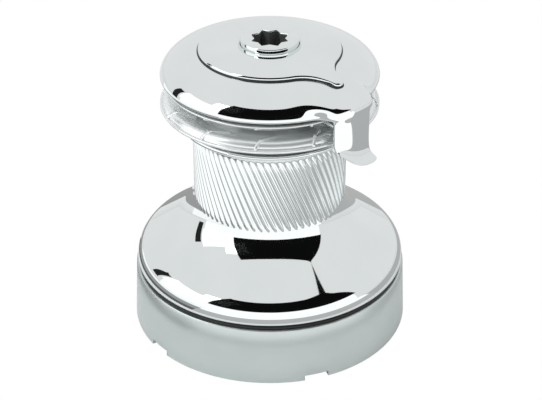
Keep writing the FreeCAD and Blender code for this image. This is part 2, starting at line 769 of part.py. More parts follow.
def make_output_pinion():
    collar_base = S.second_base
    carrier_top = collar_base + S.collar_high + S.carrier_high
    fine_root = pitch_radius(FINE_MODULE, OUTPUT_FINE_TEETH) - FINE_MODULE * 1.3
    first_top = S.first_base + S.first_high
    pinion = pawl_carrier(collar_base)
    pinion = pinion.fuse(rod(S.collar_radius - S.washer_thick, S.floor_thick + S.washer_thick + S.side_gap / 3,
                             collar_base))
    pinion = pinion.fuse(rod(fine_root, carrier_top, S.first_base))
    pinion = pinion.fuse(gear_shape(OUTPUT_FINE_TEETH, FINE_MODULE, S.first_base, S.first_high, OUTPUT_PHASE))
    pinion = pinion.fuse(rod(fine_root, first_top, S.output_base))
    coarse_high = S.output_top - S.output_base
    pinion = pinion.fuse(gear_shape(OUTPUT_COARSE_TEETH, COARSE_MODULE, S.output_base, coarse_high, 0.0))
    pinion = pinion.cut(rod(S.pin_radius + S.running_gap, S.floor_thick, S.output_top + S.washer_thick))
    return feature("output_pinion", shifted(pinion.removeSplitter(), OUTPUT_CENTRE))


def make_gears():
    first = ratchet_gear(FIRST_TEETH, S.first_base, S.first_high, 0.0)
    second = ratchet_gear(SECOND_TEETH, S.second_base, S.second_high, SECOND_PHASE)
    idler = gear_shape(IDLER_TEETH, FINE_MODULE, S.first_base, S.first_high, IDLER_PHASE)
    idler = idler.cut(rod(S.idler_pin_radius + S.running_gap, S.first_base, S.first_base + S.first_high))
    for hole in all_round(rod(S.idler_pin_radius * 0.6, S.first_base, S.first_base + S.first_high,
                              (S.ratchet_tip * 0.75, 0)), 6):
        idler = idler.cut(hole)
    return [
        feature("first_speed_gear", first),
        feature("second_speed_gear", shifted(second, OUTPUT_CENTRE)),
        feature("idler_gear", shifted(idler, IDLER_CENTRE)),
    ]


def make_pawls():
    """Two pawls on each carrier: the shaft's stand out and the pinion's are folded in."""
    pawls = []
    high = float(S.carrier_high) - 2 * float(S.side_gap)
    for owner, base, centre, fold in (("shaft", S.first_base, (0, 0), 0.0),
                                      ("output", S.second_base, OUTPUT_CENTRE, FOLDED)):
        foot = float(base) + float(S.collar_high) + float(S.side_gap)
        for number, turn in enumerate((0.0, 180.0), start=1):
            pawl = pawl_shape(foot, high)
            pawl.rotate(Vector(PAWL_PIVOT, 0, 0), Vector(0, 0, 1), fold)
            pawl = shifted(about_axis(pawl, turn), centre)
            pawls.append(feature("%s_pawl_%d" % (owner, number), pawl))
    return pawls


def make_ring_gear():
    top = S.ring_base + S.ring_high
    ring = rod(S.ring_radius, S.ring_base, top)
    ring = ring.cut(prism_shape(tooth_points(RING_TEETH, COARSE_MODULE, RING_PHASE, -1), S.ring_base, top))
    for hole in all_round(rod(S.ring_screw, S.ring_base, top, ring_screw_place()), 6):
        ring = ring.cut(hole)
    return feature("drum_ring_gear", ring)


def ring_screw_place():
    root = pitch_radius(COARSE_MODULE, RING_TEETH) + COARSE_MODULE * 1.2
    return ((root + S.ring_radius) / 2, 0)


def make_ring_screws():
    top = S.ring_base + S.ring_high
    screw = rod(S.ring_screw, S.ring_base, top + S.ring_screw * 4, ring_screw_place())
    screw = screw.fuse(rod(S.ring_screw * 1.5, S.ring_base - S.ring_screw, S.ring_base, ring_screw_place()))
    return feature("ring_gear_screws", Part.Compound(all_round(screw, 6)))


# Outlines with arcs, for prisms and turned layers


def outline_face(outline, place):
    """A face from an outline of corners and arcs; place turns a pair into a point."""
    first = start = outline[0]
    edges = []
    for step in list(outline[1:]) + [first]:
        if step[0] == "arc":
            edges.append(Part.Arc(place(start), place(step[1]), place(step[2])).toShape())
            start = step[2]
        else:
            edges.append(Part.LineSegment(place(start), place(step)).toShape())
            start = step
    return Part.Face(Part.Wire(edges))


def upright_prism(outline, base, top):
    face = outline_face(outline, lambda pair: Vector(float(pair[0]), float(pair[1]), float(base)))
    return face.extrude(Vector(0, 0, float(top) - float(base)))


def turned_layer(outline):
    face = outline_face(outline, lambda pair: Vector(float(pair[0]), 0, float(pair[1])))
    return face.revolve(Vector(0, 0, 0), Vector(0, 0, 1), FULL_TURN)


def outward_prism(outline, near, far):
    """A prism that points along +X, from an outline of (sideways, height) pairs."""
    face = outline_face(outline, lambda pair: Vector(float(near), float(pair[0]), float(pair[1])))
    return face.extrude(Vector(float(far) - float(near), 0, 0))


# Drum: flange, flank, ribbed grip, crown and neck


def hub_base():
    return S.plate_base + S.plate_thick + S.washer_thick * 1.6 + S.side_gap


def make_drum_casting():
    crown_under = S.crown_base - S.flange_wall * 0.8
    slope = (S.cone_end - S.cone_start) / (S.flange_radius - S.grip_wall)
    flange_inner = S.flange_radius - S.flange_wall
    boss_outer = S.ring_radius + S.flange_wall * 1.3
    flank_inner = S.cone_start - S.flange_wall * 0.8
    ring_top = S.ring_base + S.ring_high
    bore_step = (S.relief_radius - S.race_radius) * 0.6
    body = turned("drum_casting", [
        (flange_inner, S.drum_base),
        (S.flange_radius - S.skirt_chamfer, S.drum_base),
        (S.flange_radius, S.drum_base + S.skirt_chamfer),
        (S.flange_radius, S.cone_start),
        (S.grip_wall, S.cone_end),
        (S.grip_wall, crown_under),
        (S.crown_radius, crown_under),
        (S.crown_radius, S.crown_base - S.skirt_chamfer),
        (S.crown_radius - S.skirt_chamfer, S.crown_base),
        (S.neck_radius, S.crown_base),
        (S.neck_radius, S.neck_top),
        (S.neck_bore, S.neck_top),
        (S.neck_bore, S.upper_race_top),
        (S.race_radius, S.upper_race_top),
        (S.race_radius, S.upper_race_base),
        (S.relief_radius, S.upper_race_base - bore_step),
        (S.relief_radius, S.lower_race_top + bore_step),
        (S.race_radius, S.lower_race_top),
        (S.race_radius, hub_base()),
        (S.stem_flange + S.open_gap * 2, hub_base()),
        (S.stem_flange + S.open_gap * 2, ring_top),
        (S.ring_radius, ring_top),
        (S.ring_radius, S.ring_base - S.side_gap),
        (boss_outer, S.ring_base - S.side_gap),
        (boss_outer, flank_inner + slope * (flange_inner - boss_outer)),
        (flange_inner, flank_inner),
    ])
    round_edges(body, "shoulder_round", [(S.flange_radius, S.cone_start)], S.shoulder_fillet)
    round_edges(body, "foot_round", [(S.grip_wall, S.cone_end)], S.foot_fillet)
    round_edges(body, "crown_round", [(S.grip_wall, crown_under)], (S.crown_radius - S.grip_wall) * 0.85)
    for side in range(3):
        key = add_pad(body, "neck_key_%d" % side,
                      lambda sketch: draw_outline(sketch, box_outline((S.neck_radius - S.key_reach, S.key_wide / -2),
                                                                      (S.neck_radius + S.key_reach, S.key_wide / 2))),
                      S.crown_base, S.neck_top - S.crown_base)
        turn_sketch(key.Profile[0], S.key_angle + 120.0 * side)
    for number in range(6):
        place = polar(S.jaw_screw_circle, 60.0 * number)
        add_pocket(body, "jaw_thread_%d" % number, lambda sketch: draw_circle(sketch, place, S.jaw_screw),
                   S.neck_top - S.jaw_screw * 4, S.jaw_screw * 4)
    for number in range(6):
        base_place = ring_screw_place()
        turn = math.radians(60.0 * number)
        place = (base_place[0] * round(math.cos(turn), 9), base_place[0] * round(math.sin(turn), 9))
        add_pocket(body, "ring_thread_%d" % number, lambda sketch: draw_circle(sketch, place, S.ring_screw),
                   ring_top, S.ring_screw * 4)
    return body


def rib_corners(crest, share):
    """One rib of the grip in section, at a share of the grip's height."""
    pitch = FULL_TURN / float(S.grip_ribs)
    height = float(S.grip_top) - float(S.grip_base)
    lean = math.degrees(height * math.tan(math.radians(float(S.grip_lean))) / float(S.grip_radius))
    points = []
    for radius, offset in ((S.grip_root, -0.47), (crest, -0.14), (crest, 0.14), (S.grip_root, 0.47)):
        across, along = polar(radius, offset * pitch - share * lean)
        points.append(Vector(float(across), float(along), float(S.grip_base) + share * height))
    return points


def flat_face(*points):
    return Part.Face(Part.makePolygon(list(points) + [points[0]]))


def faceted_bar(sections):
    """A bar through sections with the same corners, with two flat faces on each side of a length."""
    faces = [flat_face(*reversed(sections[0])), flat_face(*sections[-1])]
    for low, high in zip(sections[:-1], sections[1:]):
        for corner in range(len(low)):
            faces.append(flat_face(low[corner - 1], low[corner], high[corner]))
            faces.append(flat_face(low[corner - 1], high[corner], high[corner - 1]))
    skin = Part.Shell(faces)
    skin.sewShape()
    return Part.Solid(skin)


def make_grip():
    """Slanting ribs that rise out of the wall and sink back into it."""
    run_out = float((S.grip_radius - S.grip_wall) * 1.6 / (S.grip_top - S.grip_base))
    buried = S.grip_wall - S.open_gap
    sections = [rib_corners(buried, 0.0)]
    for step in range(GRIP_STEPS + 1):
        sections.append(rib_corners(S.grip_radius, run_out + (1 - 2 * run_out) * step / GRIP_STEPS))
    sections.append(rib_corners(buried, 1.0))
    rib = faceted_bar(sections)
    return feature("grip_ribs", Part.Compound(all_round(rib, S.grip_ribs)))


def joined(kind, name, base, tool):
    """A boolean of two objects: a fuse, a cut or a common."""
    result = doc.addObject("Part::" + kind, name)
    result.Base = base
    result.Tool = tool
    result.Label = name
    doc.recompute()
    return result


# Roller bearings between stem and drum


def make_bearing(name, base):
    pitch = (float(S.stem_radius) + float(S.race_radius)) / 2
    top = float(base) + float(S.roller_high) + 2 * float(S.cage_rim)
    foot, crown = float(base) + float(S.cage_rim), top - float(S.cage_rim)
    half_wall = float(S.cage_wall) / 2
    cage = tube(pitch - half_wall, pitch + half_wall, base, top)
    gap = float(S.running_gap) * 4
    for pocket in all_round(rod(float(S.roller_radius) + gap, foot - gap, crown + gap, (pitch, 0)), S.roller_count):
        cage = cage.cut(pocket)
    rollers = all_round(rod(S.roller_radius, foot, crown, (pitch, 0)), S.roller_count)
    return [feature(name + "_cage", cage), feature(name + "_rollers", Part.Compound(rollers))]


def make_stem_rings():
    bearing_high = S.roller_high + S.cage_rim * 2
    spacer_base = hub_base() + bearing_high + S.open_gap * 2
    spacer = tube(S.stem_radius, S.stem_radius + S.cage_wall * 0.7, spacer_base, S.upper_race_base + S.open_gap * 2)
    ring_base = S.upper_race_top + S.open_gap
    ring = tube(S.stem_radius, S.race_radius + S.cage_wall * 0.7, ring_base, ring_base + S.cage_wall)
    return [feature("bearing_spacer", spacer), feature("drum_retaining_ring", ring)]


# Self-tailing jaws and the spring below the lower one


def skewed_ribs(layer, name):
    """Gripping ribs: slabs of a turned layer that lean away from the radius."""
    reach = float(S.jaw_radius)
    half = float(S.jaw_rib_wide) / 2
    slab = Part.makeBox(reach / 2, 2 * half, 40.0, Vector(reach / 2, -half, float(S.jaw_base) - 10))
    slab.rotate(Vector(reach, 0, 0), Vector(0, 0, 1), -float(S.jaw_rib_skew))
    rib = layer.common(slab)
    return feature(name, Part.Compound(all_round(rib, S.jaw_ribs, S.jaw_rib_angle)))


def make_lower_jaw():
    bore = S.neck_radius + S.running_gap
    body = turned("lower_jaw_disc", [
        (bore, S.jaw_base),
        (S.jaw_root_radius + 4.0, S.jaw_base),
        (S.jaw_radius - 1.0, S.jaw_rim_base),
        (S.jaw_radius, S.jaw_rim_base + 0.6),
        (S.jaw_radius, S.jaw_rim_top - 0.5),
        (S.jaw_radius - 0.6, S.jaw_rim_top),
        (S.jaw_radius - 2.0, S.jaw_rim_top + 0.2),
        ("arc", (S.jaw_bend_radius + 1.9, S.jaw_bend_top - 1.2), (S.jaw_bend_radius - 0.4, S.jaw_bend_top)),
        (S.jaw_root_radius, S.jaw_root_top),
        (bore, S.jaw_root_top),
    ])
    for side in range(3):
        gap = S.running_gap
        low = (S.neck_radius - S.key_reach, S.key_wide / -2 - gap)
        high = (S.neck_radius + S.key_reach + gap * 4, S.key_wide / 2 + gap)
        slot = add_pocket(body, "key_slot_%d" % side, lambda sketch: draw_outline(sketch, box_outline(low, high)),
                          S.jaw_base, S.jaw_root_top - S.jaw_base)
        turn_sketch(slot.Profile[0], S.key_angle + 120.0 * side)
    rise = S.jaw_rib_high
    layer = turned_layer([
        (S.jaw_root_radius + 1.5, S.jaw_base + 2.0),
        (S.jaw_root_radius + 1.5, S.jaw_root_top + rise * 0.6),
        (S.jaw_root_radius + 3.5, S.jaw_root_top + rise * 1.6),
        (S.jaw_bend_radius - 1.2, S.jaw_bend_top + rise),
        (S.jaw_bend_radius + 0.8, S.jaw_bend_top + rise * 0.7),
        (S.jaw_bend_radius + 2.4, S.jaw_bend_top - 0.6),
        (S.jaw_radius - 1.6, S.jaw_rim_top + 0.5),
        (S.jaw_radius - 1.6, S.jaw_rim_base + 1.0),
    ])
    ribs = skewed_ribs(layer, "lower_jaw_ribs")
    return joined("Fuse", "lower_jaw", body, ribs)


def make_upper_jaw():
    plate_top = S.neck_top + S.upper_jaw_plate
    body = turned("upper_jaw_disc", [
        (S.neck_bore, S.neck_top),
        (S.jaw_root_radius, S.neck_top),
        (S.upper_jaw_radius, S.upper_jaw_rim),
        (S.upper_jaw_radius, S.upper_jaw_rim + S.upper_jaw_skin * 0.6),
        (S.jaw_root_radius + 1.0, plate_top),
        (S.neck_bore, plate_top),
    ])
    for number in range(6):
        place = polar(S.jaw_screw_circle, 60.0 * number)
        add_pocket(body, "screw_hole_up_%d" % number, lambda sketch: draw_circle(sketch, place, S.jaw_screw),
                   S.neck_top, S.upper_jaw_plate)
    rise = S.jaw_rib_high
    layer = turned_layer([
        (S.jaw_root_radius + 1.5, S.neck_top + 1.5),
        (S.jaw_root_radius + 1.5, S.neck_top - rise * 0.2),
        (S.upper_jaw_radius - 3.0, S.upper_jaw_rim - 1.25 - rise),
        (S.upper_jaw_radius - 1.0, S.upper_jaw_rim - 0.2),
    ])
    ribs = skewed_ribs(layer, "upper_jaw_ribs")
    return joined("Fuse", "upper_jaw", body, ribs)


def make_jaw_screws():
    plate_top = S.neck_top + S.upper_jaw_plate
    centre = (S.jaw_screw_circle, 0)
    screw = rod(S.jaw_screw, S.neck_top - S.jaw_screw * 4, plate_top, centre)
    head = rod(S.jaw_screw * 1.7, plate_top, plate_top + S.jaw_screw, centre)
    head = head.cut(rod(S.jaw_screw * 0.8, plate_top + S.jaw_screw * 0.4, plate_top + S.jaw_screw, centre))
    return feature("jaw_screws", Part.Compound(all_round(screw.fuse(head), 6)))


def wave_curve(radius, amplitude, middle):
    """A closed curve that runs up and down round the neck."""
    waves = int(float(S.spring_waves))
    steps = waves * 8
    points = []
    for step in range(steps):
        angle = 2 * math.pi * step / steps
        height = middle + amplitude * math.sin(waves * angle)
        points.append(Vector(float(radius) * math.cos(angle), float(radius) * math.sin(angle), height))
    curve = Part.BSplineCurve()
    curve.interpolate(points, PeriodicFlag=True)
    return curve.toShape()


def make_jaw_spring():
    """A strip that waves between the drum's crown and the lower jaw."""
    sheet_thick = float(S.spring_sheet)
    room = float(S.jaw_base) - float(S.crown_base)
    amplitude = (room - sheet_thick) / 2 - float(S.running_gap)
    middle = float(S.crown_base) + room / 2 - sheet_thick / 2
    inner = wave_curve(S.spring_inner, amplitude, middle)
    outer = wave_curve(S.spring_outer, amplitude, middle)
    strip = Part.makeRuledSurface(inner, outer)
    return feature("jaw_spring", strip.extrude(Vector(0, 0, sheet_thick)))


# Stripper arm with its cover, its support and the cover plate


def cover_top(lift):
    """The cover's outer surface from the socket to its widest place, lifted by a size."""
    reach, drop = S.brow_radius - S.socket_hole, S.crest_z - S.brow_z
    crown = [(S.socket_hole + reach * share, S.crest_z - drop * share * share + lift) for share in (0.0, 0.35, 0.7)]
    return crown + [
        (S.brow_radius, S.brow_z + lift),
        ("arc", ((S.brow_radius + S.cover_radius) / 2 + 2.2, (S.brow_z + S.cover_wide_z) / 2 + 2.0 + lift),
         (S.cover_radius, S.cover_wide_z + lift)),
    ]


def make_cover_disc():
    inner_wide = S.cover_radius - S.cover_skin
    body = turned("cover_disc", cover_top(S.cover_rim * 0) + [
        (S.cover_rim_radius, S.cover_rim),
        (S.cover_rim_radius - S.cover_skin * 0.8, S.cover_rim),
        (inner_wide, S.cover_wide_z),
        ("arc", ((S.brow_radius + inner_wide) / 2 + 1.6, (S.brow_z + S.cover_wide_z) / 2 + 0.6),
         (S.brow_radius - 1.0, S.brow_z - S.cover_skin)),
        (S.hub_radius, S.crest_z - S.cover_skin - 0.6),
        (S.hub_radius, S.stem_top),
        (S.socket_hole, S.stem_top),
    ])
    support_top = S.support_base + S.support_thick
    for number in range(4):
        place = polar(S.cover_screw_circle, 90.0 * number + float(S.arm_angle))
        add_pad(body, "boss_%d" % number, lambda sketch: draw_circle(sketch, place, S.cover_screw * 2.2),
                support_top, S.brow_z - support_top)
        add_pocket(body, "cover_hole_%d" % number, lambda sketch: draw_circle(sketch, place, S.cover_screw),
                   support_top, S.crest_z - support_top)
        add_pocket(body, "head_seat_%d" % number, lambda sketch: draw_circle(sketch, place, S.cover_screw * 2),
                   S.brow_z - S.cover_screw * 1.6, S.crest_z - S.brow_z + S.cover_screw * 1.6)
    return body


def arm_section():
    """The arm's wall in section, and the shoulder where it leaves the cover."""
    reach, inner = S.arm_reach, S.arm_reach - S.arm_thick
    return [
        (inner, S.toe_low - 1.0),
        (reach - 1.5, S.toe_low - 1.0),
        (reach, S.toe_low + 3.0),
        (reach, S.cover_rim - 2.0),
        ("arc", (reach - 2.6, S.cover_wide_z + 4.6), (S.cover_radius - 3.2, S.brow_z - 4.4)),
        (S.brow_radius + 3.0, S.brow_z - 0.9),
        (S.brow_radius + 1.0, S.brow_z - 2.2),
        (S.cover_radius - 2.6, S.cover_wide_z + 2.0),
        (S.cover_radius - 1.6, S.cover_rim),
        (inner, S.cover_rim - 2.0),
    ]


def arm_outline():
    """The arm seen from in front: a straight strap that ends in a swept toe."""
    left, right, reach = -S.arm_left, S.arm_right, S.toe_reach
    return [
        (left, S.cover_wide_z + 12.0),
        (left, S.toe_low + 24.0),
        ("arc", (left + 3.4, S.toe_low + 16.2), (left + 9.5, S.toe_low + 11.4)),
        (right - 6.0, S.toe_low + 2.2),
        ("arc", (right + 1.0, S.toe_low + 0.3), (reach - 1.2, S.toe_low + 0.4)),
        ("arc", (reach, S.toe_low + 1.6), (reach - 0.6, S.toe_low + 3.6)),
        ("arc", (right + 1.6, S.toe_low + 9.0), (right, S.toe_low + 17.0)),
        (right, S.cover_rim - 10.0),
        ("arc", (right + 1.4, S.cover_rim - 1.0), (right + 5.0, S.cover_wide_z + 6.0)),
        (right + 5.0, S.cover_wide_z + 12.0),
    ]


def shoulder_outline():
    """The shoulder seen from above: the cover's edge swells out to meet the arm."""
    reach, wide = S.arm_reach, S.cover_radius
    return [
        polar(S.brow_radius - 2.0, -32.0),
        polar(wide - 1.0, -32.0),
        ("arc", polar(wide + 1.6, -22.0), polar(reach - 2.0, -16.5)),
        ("arc", polar(reach + 0.4, -13.6), polar(reach + 1.0, -11.0)),
        ("arc", polar(reach + 1.2, 0.0), polar(reach + 1.0, 8.0)),
        ("arc", polar(reach + 0.2, 10.6), polar(reach - 2.0, 13.4)),
        ("arc", polar(wide + 1.8, 16.4), polar(wide - 1.0, 22.0)),
        polar(S.brow_radius - 2.0, 22.0),
    ]


def make_arm():
    section = turned_layer(arm_section())
    strap = section.common(outward_prism(arm_outline(), S.brow_radius, S.arm_reach + 3.0))
    top = upright_prism(shoulder_outline(), S.cover_rim, S.crest_z)
    shoulder = section.common(top)
    arm = strap.fuse(shoulder)
    return feature("arm_strap", about_axis(arm.removeSplitter(), S.arm_angle))


def make_stripper_finger():
    """The finger in the groove between the jaws; it seats on the arm's inner face."""
    seat = S.arm_reach - S.arm_thick
    finger = turned_layer([
        (S.stripper_tip, S.jaw_root_top + 4.2),
        (seat, S.jaw_bend_top + 4.0),
        (seat, S.upper_jaw_rim - 2.2),
        (S.stripper_tip + 6.0, S.jaw_root_top + 7.6),
        (S.stripper_tip, S.jaw_root_top + 5.6),
    ])
    half = float(S.arm_right) * 0.7
    block = Part.makeBox(float(S.arm_reach), 2 * half, float(S.crest_z - S.jaw_base),
                         Vector(0, -half, float(S.jaw_base)))
    return feature("stripper_finger", about_axis(finger.common(block), S.arm_angle))


def make_arm_support():
    support_top = S.support_base + S.support_thick
    body = turned("arm_support", [
        (S.stem_radius, S.support_foot),
        (S.hub_radius, S.support_foot),
        (S.hub_radius, S.support_base),
        (S.support_radius, S.support_base),
        (S.support_radius, support_top),
        (S.hub_radius, support_top),
        (S.hub_radius, S.stem_top),
        (S.stem_radius, S.stem_top),
    ])
    for number in range(4):
        place = polar(S.cover_screw_circle, 90.0 * number + float(S.arm_angle))
        add_pocket(body, "cover_thread_%d" % number, lambda sketch: draw_circle(sketch, place, S.cover_screw),
                   S.support_base, S.support_thick)
    return body


def make_cover_screws():
    screws = []
    head_base = S.brow_z - S.cover_screw * 1.6
    for number in range(4):
        place = polar(S.cover_screw_circle, 90.0 * number + float(S.arm_angle))
        screw = rod(S.cover_screw, S.support_base, head_base, place)
        head = rod(S.cover_screw * 1.8, head_base, head_base + S.cover_screw, place)
        screws.append(screw.fuse(head))
    return feature("cover_screws", Part.Compound(screws))


def teardrop(circle, tail_reach, tip, waist):
    """A round plate with a tail along +X; hollow arcs join the tail to the circle."""
    circle, tail_reach, tip, waist = float(circle), float(tail_reach), float(tip), float(waist)
    far, near = circle + waist, tip + waist
    across = (far ** 2 - near ** 2 + tail_reach ** 2) / (2 * tail_reach)
    up = math.sqrt(far ** 2 - across ** 2)
    leave = (circle * across / far, circle * up / far)
    meet = (tail_reach + tip * (across - tail_reach) / near, tip * up / near)
    between = math.atan2(leave[1] - up, leave[0] - across) + math.atan2(meet[1] - up, meet[0] - across)
    hollow = (across + waist * math.cos(between / 2), up + waist * math.sin(between / 2))
    return [
        (leave[0], -leave[1]),
        ("arc", (hollow[0], -hollow[1]), (meet[0], -meet[1])),
        ("arc", (tail_reach + tip, 0.0), meet),
        ("arc", hollow, leave),
        ("arc", (-circle, 0.0), (leave[0], -leave[1])),
    ]


def closed_prism(outline, base, top):
    """An upright prism from an outline whose last arc ends where it began."""
    start = outline[0]
    edges = []
    for step in outline[1:]:
        points = [Vector(float(x), float(y), float(base)) for x, y in (start, step[1], step[2])]
        edges.append(Part.Arc(*points).toShape())
        start = step[2]
    face = Part.Face(Part.Wire(edges))
    return face.extrude(Vector(0, 0, float(top) - float(base)))


def make_cover_plate():
    lift = S.plate_rise
    layer = turned_layer(cover_top(lift) + list(reversed([
        (S.socket_hole, S.crest_z),
        (S.cover_radius, S.cover_wide_z),
    ])))
    layer = layer.cut(turned_layer(cover_top(S.plate_rise * 0) + [(S.socket_hole, S.cover_wide_z)]))
    outline = teardrop(S.plate_circle, S.tail_reach, S.tail_tip, S.tail_waist)
    plate = layer.common(closed_prism(outline, S.cover_wide_z, S.socket_top))
    return feature("cover_plate", about_axis(plate, S.arm_angle))


# Handle socket


def make_handle_socket():
    star_floor = S.socket_top - S.star_depth
    socket = turned_layer([
        (S.socket_top * 0, S.shaft_top),
        (S.shaft_radius, S.shaft_top),
        (S.shaft_radius, S.socket_foot),
        (S.socket_body, S.socket_foot),
        (S.socket_body, S.socket_shoulder),
        (S.socket_collar, S.socket_shoulder),
        (S.socket_collar, S.socket_top - S.skirt_chamfer),
        (S.socket_collar - S.skirt_chamfer, S.socket_top),
        (S.socket_top * 0, S.socket_top),
    ])
    side = float(S.star_flats)
    square = Part.makeBox(side, side, float(S.star_depth), Vector(-side / 2, -side / 2, float(star_floor)))
    for turn in (22.5, 67.5):
        socket = socket.cut(about_axis(square, turn))
    socket = socket.cut(socket_pin_shape())
    return feature("handle_socket", socket)


def socket_pin_shape():
    height = (float(S.socket_foot) + float(S.shaft_top)) / 2
    reach = float(S.socket_body)
    return Part.makeCylinder(float(S.cover_screw), 2 * reach, Vector(-reach, 0, height), Vector(1, 0, 0))


# Put the winch together


def pinned(part):
    """Drill the hole for the socket pin."""
    part.Shape = part.Shape.cut(socket_pin_shape())
    return part


nodes = [
    make_base_housing(),
    make_base_skirt(),
    make_skirt_screws(),
    make_labyrinth_seal(),
    make_stem(),
    make_stem_screws(),
    make_shaft_bushes(),
    make_arm_support(),
    make_cover_screws(),
    make_cover_plate(),
    make_stripper_finger(),
    make_ring_gear(),
    make_ring_screws(),
    make_jaw_screws(),
    make_jaw_spring(),
    make_lower_jaw(),
    make_upper_jaw(),
    make_handle_socket(),
    feature("socket_pin", socket_pin_shape()),
    pinned(make_drive_shaft()),
    make_output_pinion(),
]
nodes += make_pins() + make_washers() + make_gears() + make_pawls() + make_stem_rings()
nodes += make_bearing("lower_bearing", hub_base() + S.open_gap)
nodes += make_bearing("upper_bearing", S.upper_race_base + S.open_gap * 4)
nodes.append(joined("Fuse", "drum", make_drum_casting(), make_grip()))
nodes.append(joined("Fuse", "stripper_arm", make_cover_disc(), make_arm()))

doc.recompute()
for thing in doc.Objects:
    for word in ("Invalid", "Error"):
        if word in thing.State:
            raise ValueError("%s is in state %s" % (thing.Label, word))
for node in nodes:
    if node.Shape.isNull() or not node.Shape.isValid():
        raise ValueError(node.Label + " is not a sound shape")

os.makedirs("parts", exist_ok=True)
for node in nodes:
    node.Shape.exportStep("parts/%s.step" % node.Label)
print(len(nodes), "sub-parts written")
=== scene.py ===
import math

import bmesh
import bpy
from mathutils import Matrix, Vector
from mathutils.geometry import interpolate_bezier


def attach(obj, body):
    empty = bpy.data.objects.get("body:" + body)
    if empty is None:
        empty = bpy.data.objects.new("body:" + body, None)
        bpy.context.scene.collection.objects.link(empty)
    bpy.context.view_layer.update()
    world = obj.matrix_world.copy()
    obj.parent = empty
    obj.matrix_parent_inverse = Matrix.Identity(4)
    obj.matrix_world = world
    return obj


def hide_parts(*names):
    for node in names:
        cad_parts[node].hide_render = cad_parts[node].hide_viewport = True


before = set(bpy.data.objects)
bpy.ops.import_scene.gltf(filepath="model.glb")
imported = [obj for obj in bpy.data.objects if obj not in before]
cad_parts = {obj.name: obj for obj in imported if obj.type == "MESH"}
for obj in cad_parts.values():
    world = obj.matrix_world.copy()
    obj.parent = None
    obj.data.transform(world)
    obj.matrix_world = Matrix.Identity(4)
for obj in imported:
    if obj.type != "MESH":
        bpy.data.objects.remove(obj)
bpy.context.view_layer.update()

# %% [markdown]
# A self-tailing winch for a yacht: a chromed drum that hauls a rope, two ribbed
# jaws that grip the rope's tail, and a still arm that lifts the tail out of them.
# The mechanism is already in the frame. What is left to make is the look: smooth
# shells for everything that light touches, and a studio for the chrome to mirror.
# All sizes below are in millimetres and pass through MM on their way to Blender.

MM = 0.001
WELD_DISTANCE = 0.0005
FULL_TURN = 2 * math.pi
ARM_ANGLE = math.radians(-47.0)


def smooth_step(low, high, value):
    """Rises from 0 to 1 between two values, flat at both ends."""
    share = min(max((value - low) / (high - low), 0.0), 1.0)
    return share * share * (3 - 2 * share)


def turn_about_z(angle):
    """A turn about the drum's axis."""
    return Matrix.Rotation(angle, 4, "Z")


# %% [markdown]
# Nearly every shell of a winch is turned on a lathe. The same thing works in
# Blender: draw half of the section as a loop of points beside the axis, then spin
# it. Corners stay single points and sweeping stretches are Bezier curves, so a
# chromed surface gets the even curvature that its reflections need.

# %% Section loops and the lathe
def curve(start, start_pull, end_pull, end, steps):
    """Points of a Bezier curve without its first, so that runs can be chained."""
    corners = [Vector((*pair, 0.0)) for pair in (start, start_pull, end_pull, end)]
    return [(p.x, p.y) for p in interpolate_bezier(*corners, steps + 1)[1:]]


def lathe(section, columns):
    """Spin a closed section of (radius, height) points into a bmesh, in millimetres."""
    bm = bmesh.new()
    points = [bm.verts.new((radius, 0.0, height)) for radius, height in section]
    edges = [bm.edges.new((points[k - 1], points[k])) for k in range(len(points))]
    bmesh.ops.spin(bm, geom=points + edges, cent=(0, 0, 0), axis=(0, 0, 1),
                   angle=FULL_TURN, steps=columns, use_merge=True, use_duplicate=False)
    bmesh.ops.remove_doubles(bm, verts=bm.verts, dist=WELD_DISTANCE)
    bmesh.ops.recalc_face_normals(bm, faces=bm.faces)
    return bm


def move_each(bm, rule):
    """Move every vertex to where rule(radius, angle, height) says."""
    for vert in bm.verts:
        radius = math.hypot(vert.co.x, vert.co.y)
        angle = math.atan2(vert.co.y, vert.co.x)
        radius, angle, height = rule(radius, angle, vert.co.z)
        vert.co = (radius * math.cos(angle), radius * math.sin(angle), height)


def finish_piece(bm, name, material, body, stands_for=(), smooth_levels=0):
    """Turn a bmesh in millimetres into a named piece that rides on its body."""
    bmesh.ops.scale(bm, vec=(MM, MM, MM), verts=bm.verts)
    mesh = bpy.data.meshes.new(name)
    bm.to_mesh(mesh)
    bm.free()
    mesh.shade_smooth()
    piece = bpy.data.objects.new(name, mesh)
    bpy.context.scene.collection.objects.link(piece)
    piece.data.materials.append(material)
    if smooth_levels:
        subdivision = piece.modifiers.new("rounding", "SUBSURF")
        subdivision.levels = smooth_levels
        subdivision.render_levels = smooth_levels
    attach(piece, body)
    if stands_for:
        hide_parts(*stands_for)
    print(name, "has", len(mesh.polygons), "faces before rounding")
    return piece


# %% [markdown]
# Chrome has no look of its own: it shows the room. What the surface adds is small.
# A polished casting is a little wavy, its polish is a little uneven, and turned
# pieces keep hair-thin lines round their axis. Each of these effects is a shader
# group, so that every metal of the winch can have its own amount of it.

# %% Shader groups
SPECK_SCALE, CLOUD_SCALE = 2200.0, 38.0


def new_group(name, inputs, outputs):
    """A shader group with its input and output sockets made."""
    group = bpy.data.node_groups.new(name, "ShaderNodeTree")
    for title, value in inputs.items():
        socket = group.interface.new_socket(title, in_out="INPUT", socket_type="NodeSocketFloat")
        socket.default_value = value
    for title, kind in outputs.items():
        group.interface.new_socket(title, in_out="OUTPUT", socket_type=kind)
    group.nodes.new("NodeGroupInput")
    group.nodes.new("NodeGroupOutput")
    return group, group.nodes["Group Input"].outputs, group.nodes["Group Output"].inputs


def add_node(tree, kind, **settings):
    """A new node with its settings given."""
    node = tree.nodes.new(kind)
    for key, value in settings.items():
        setattr(node, key, value)
    return node


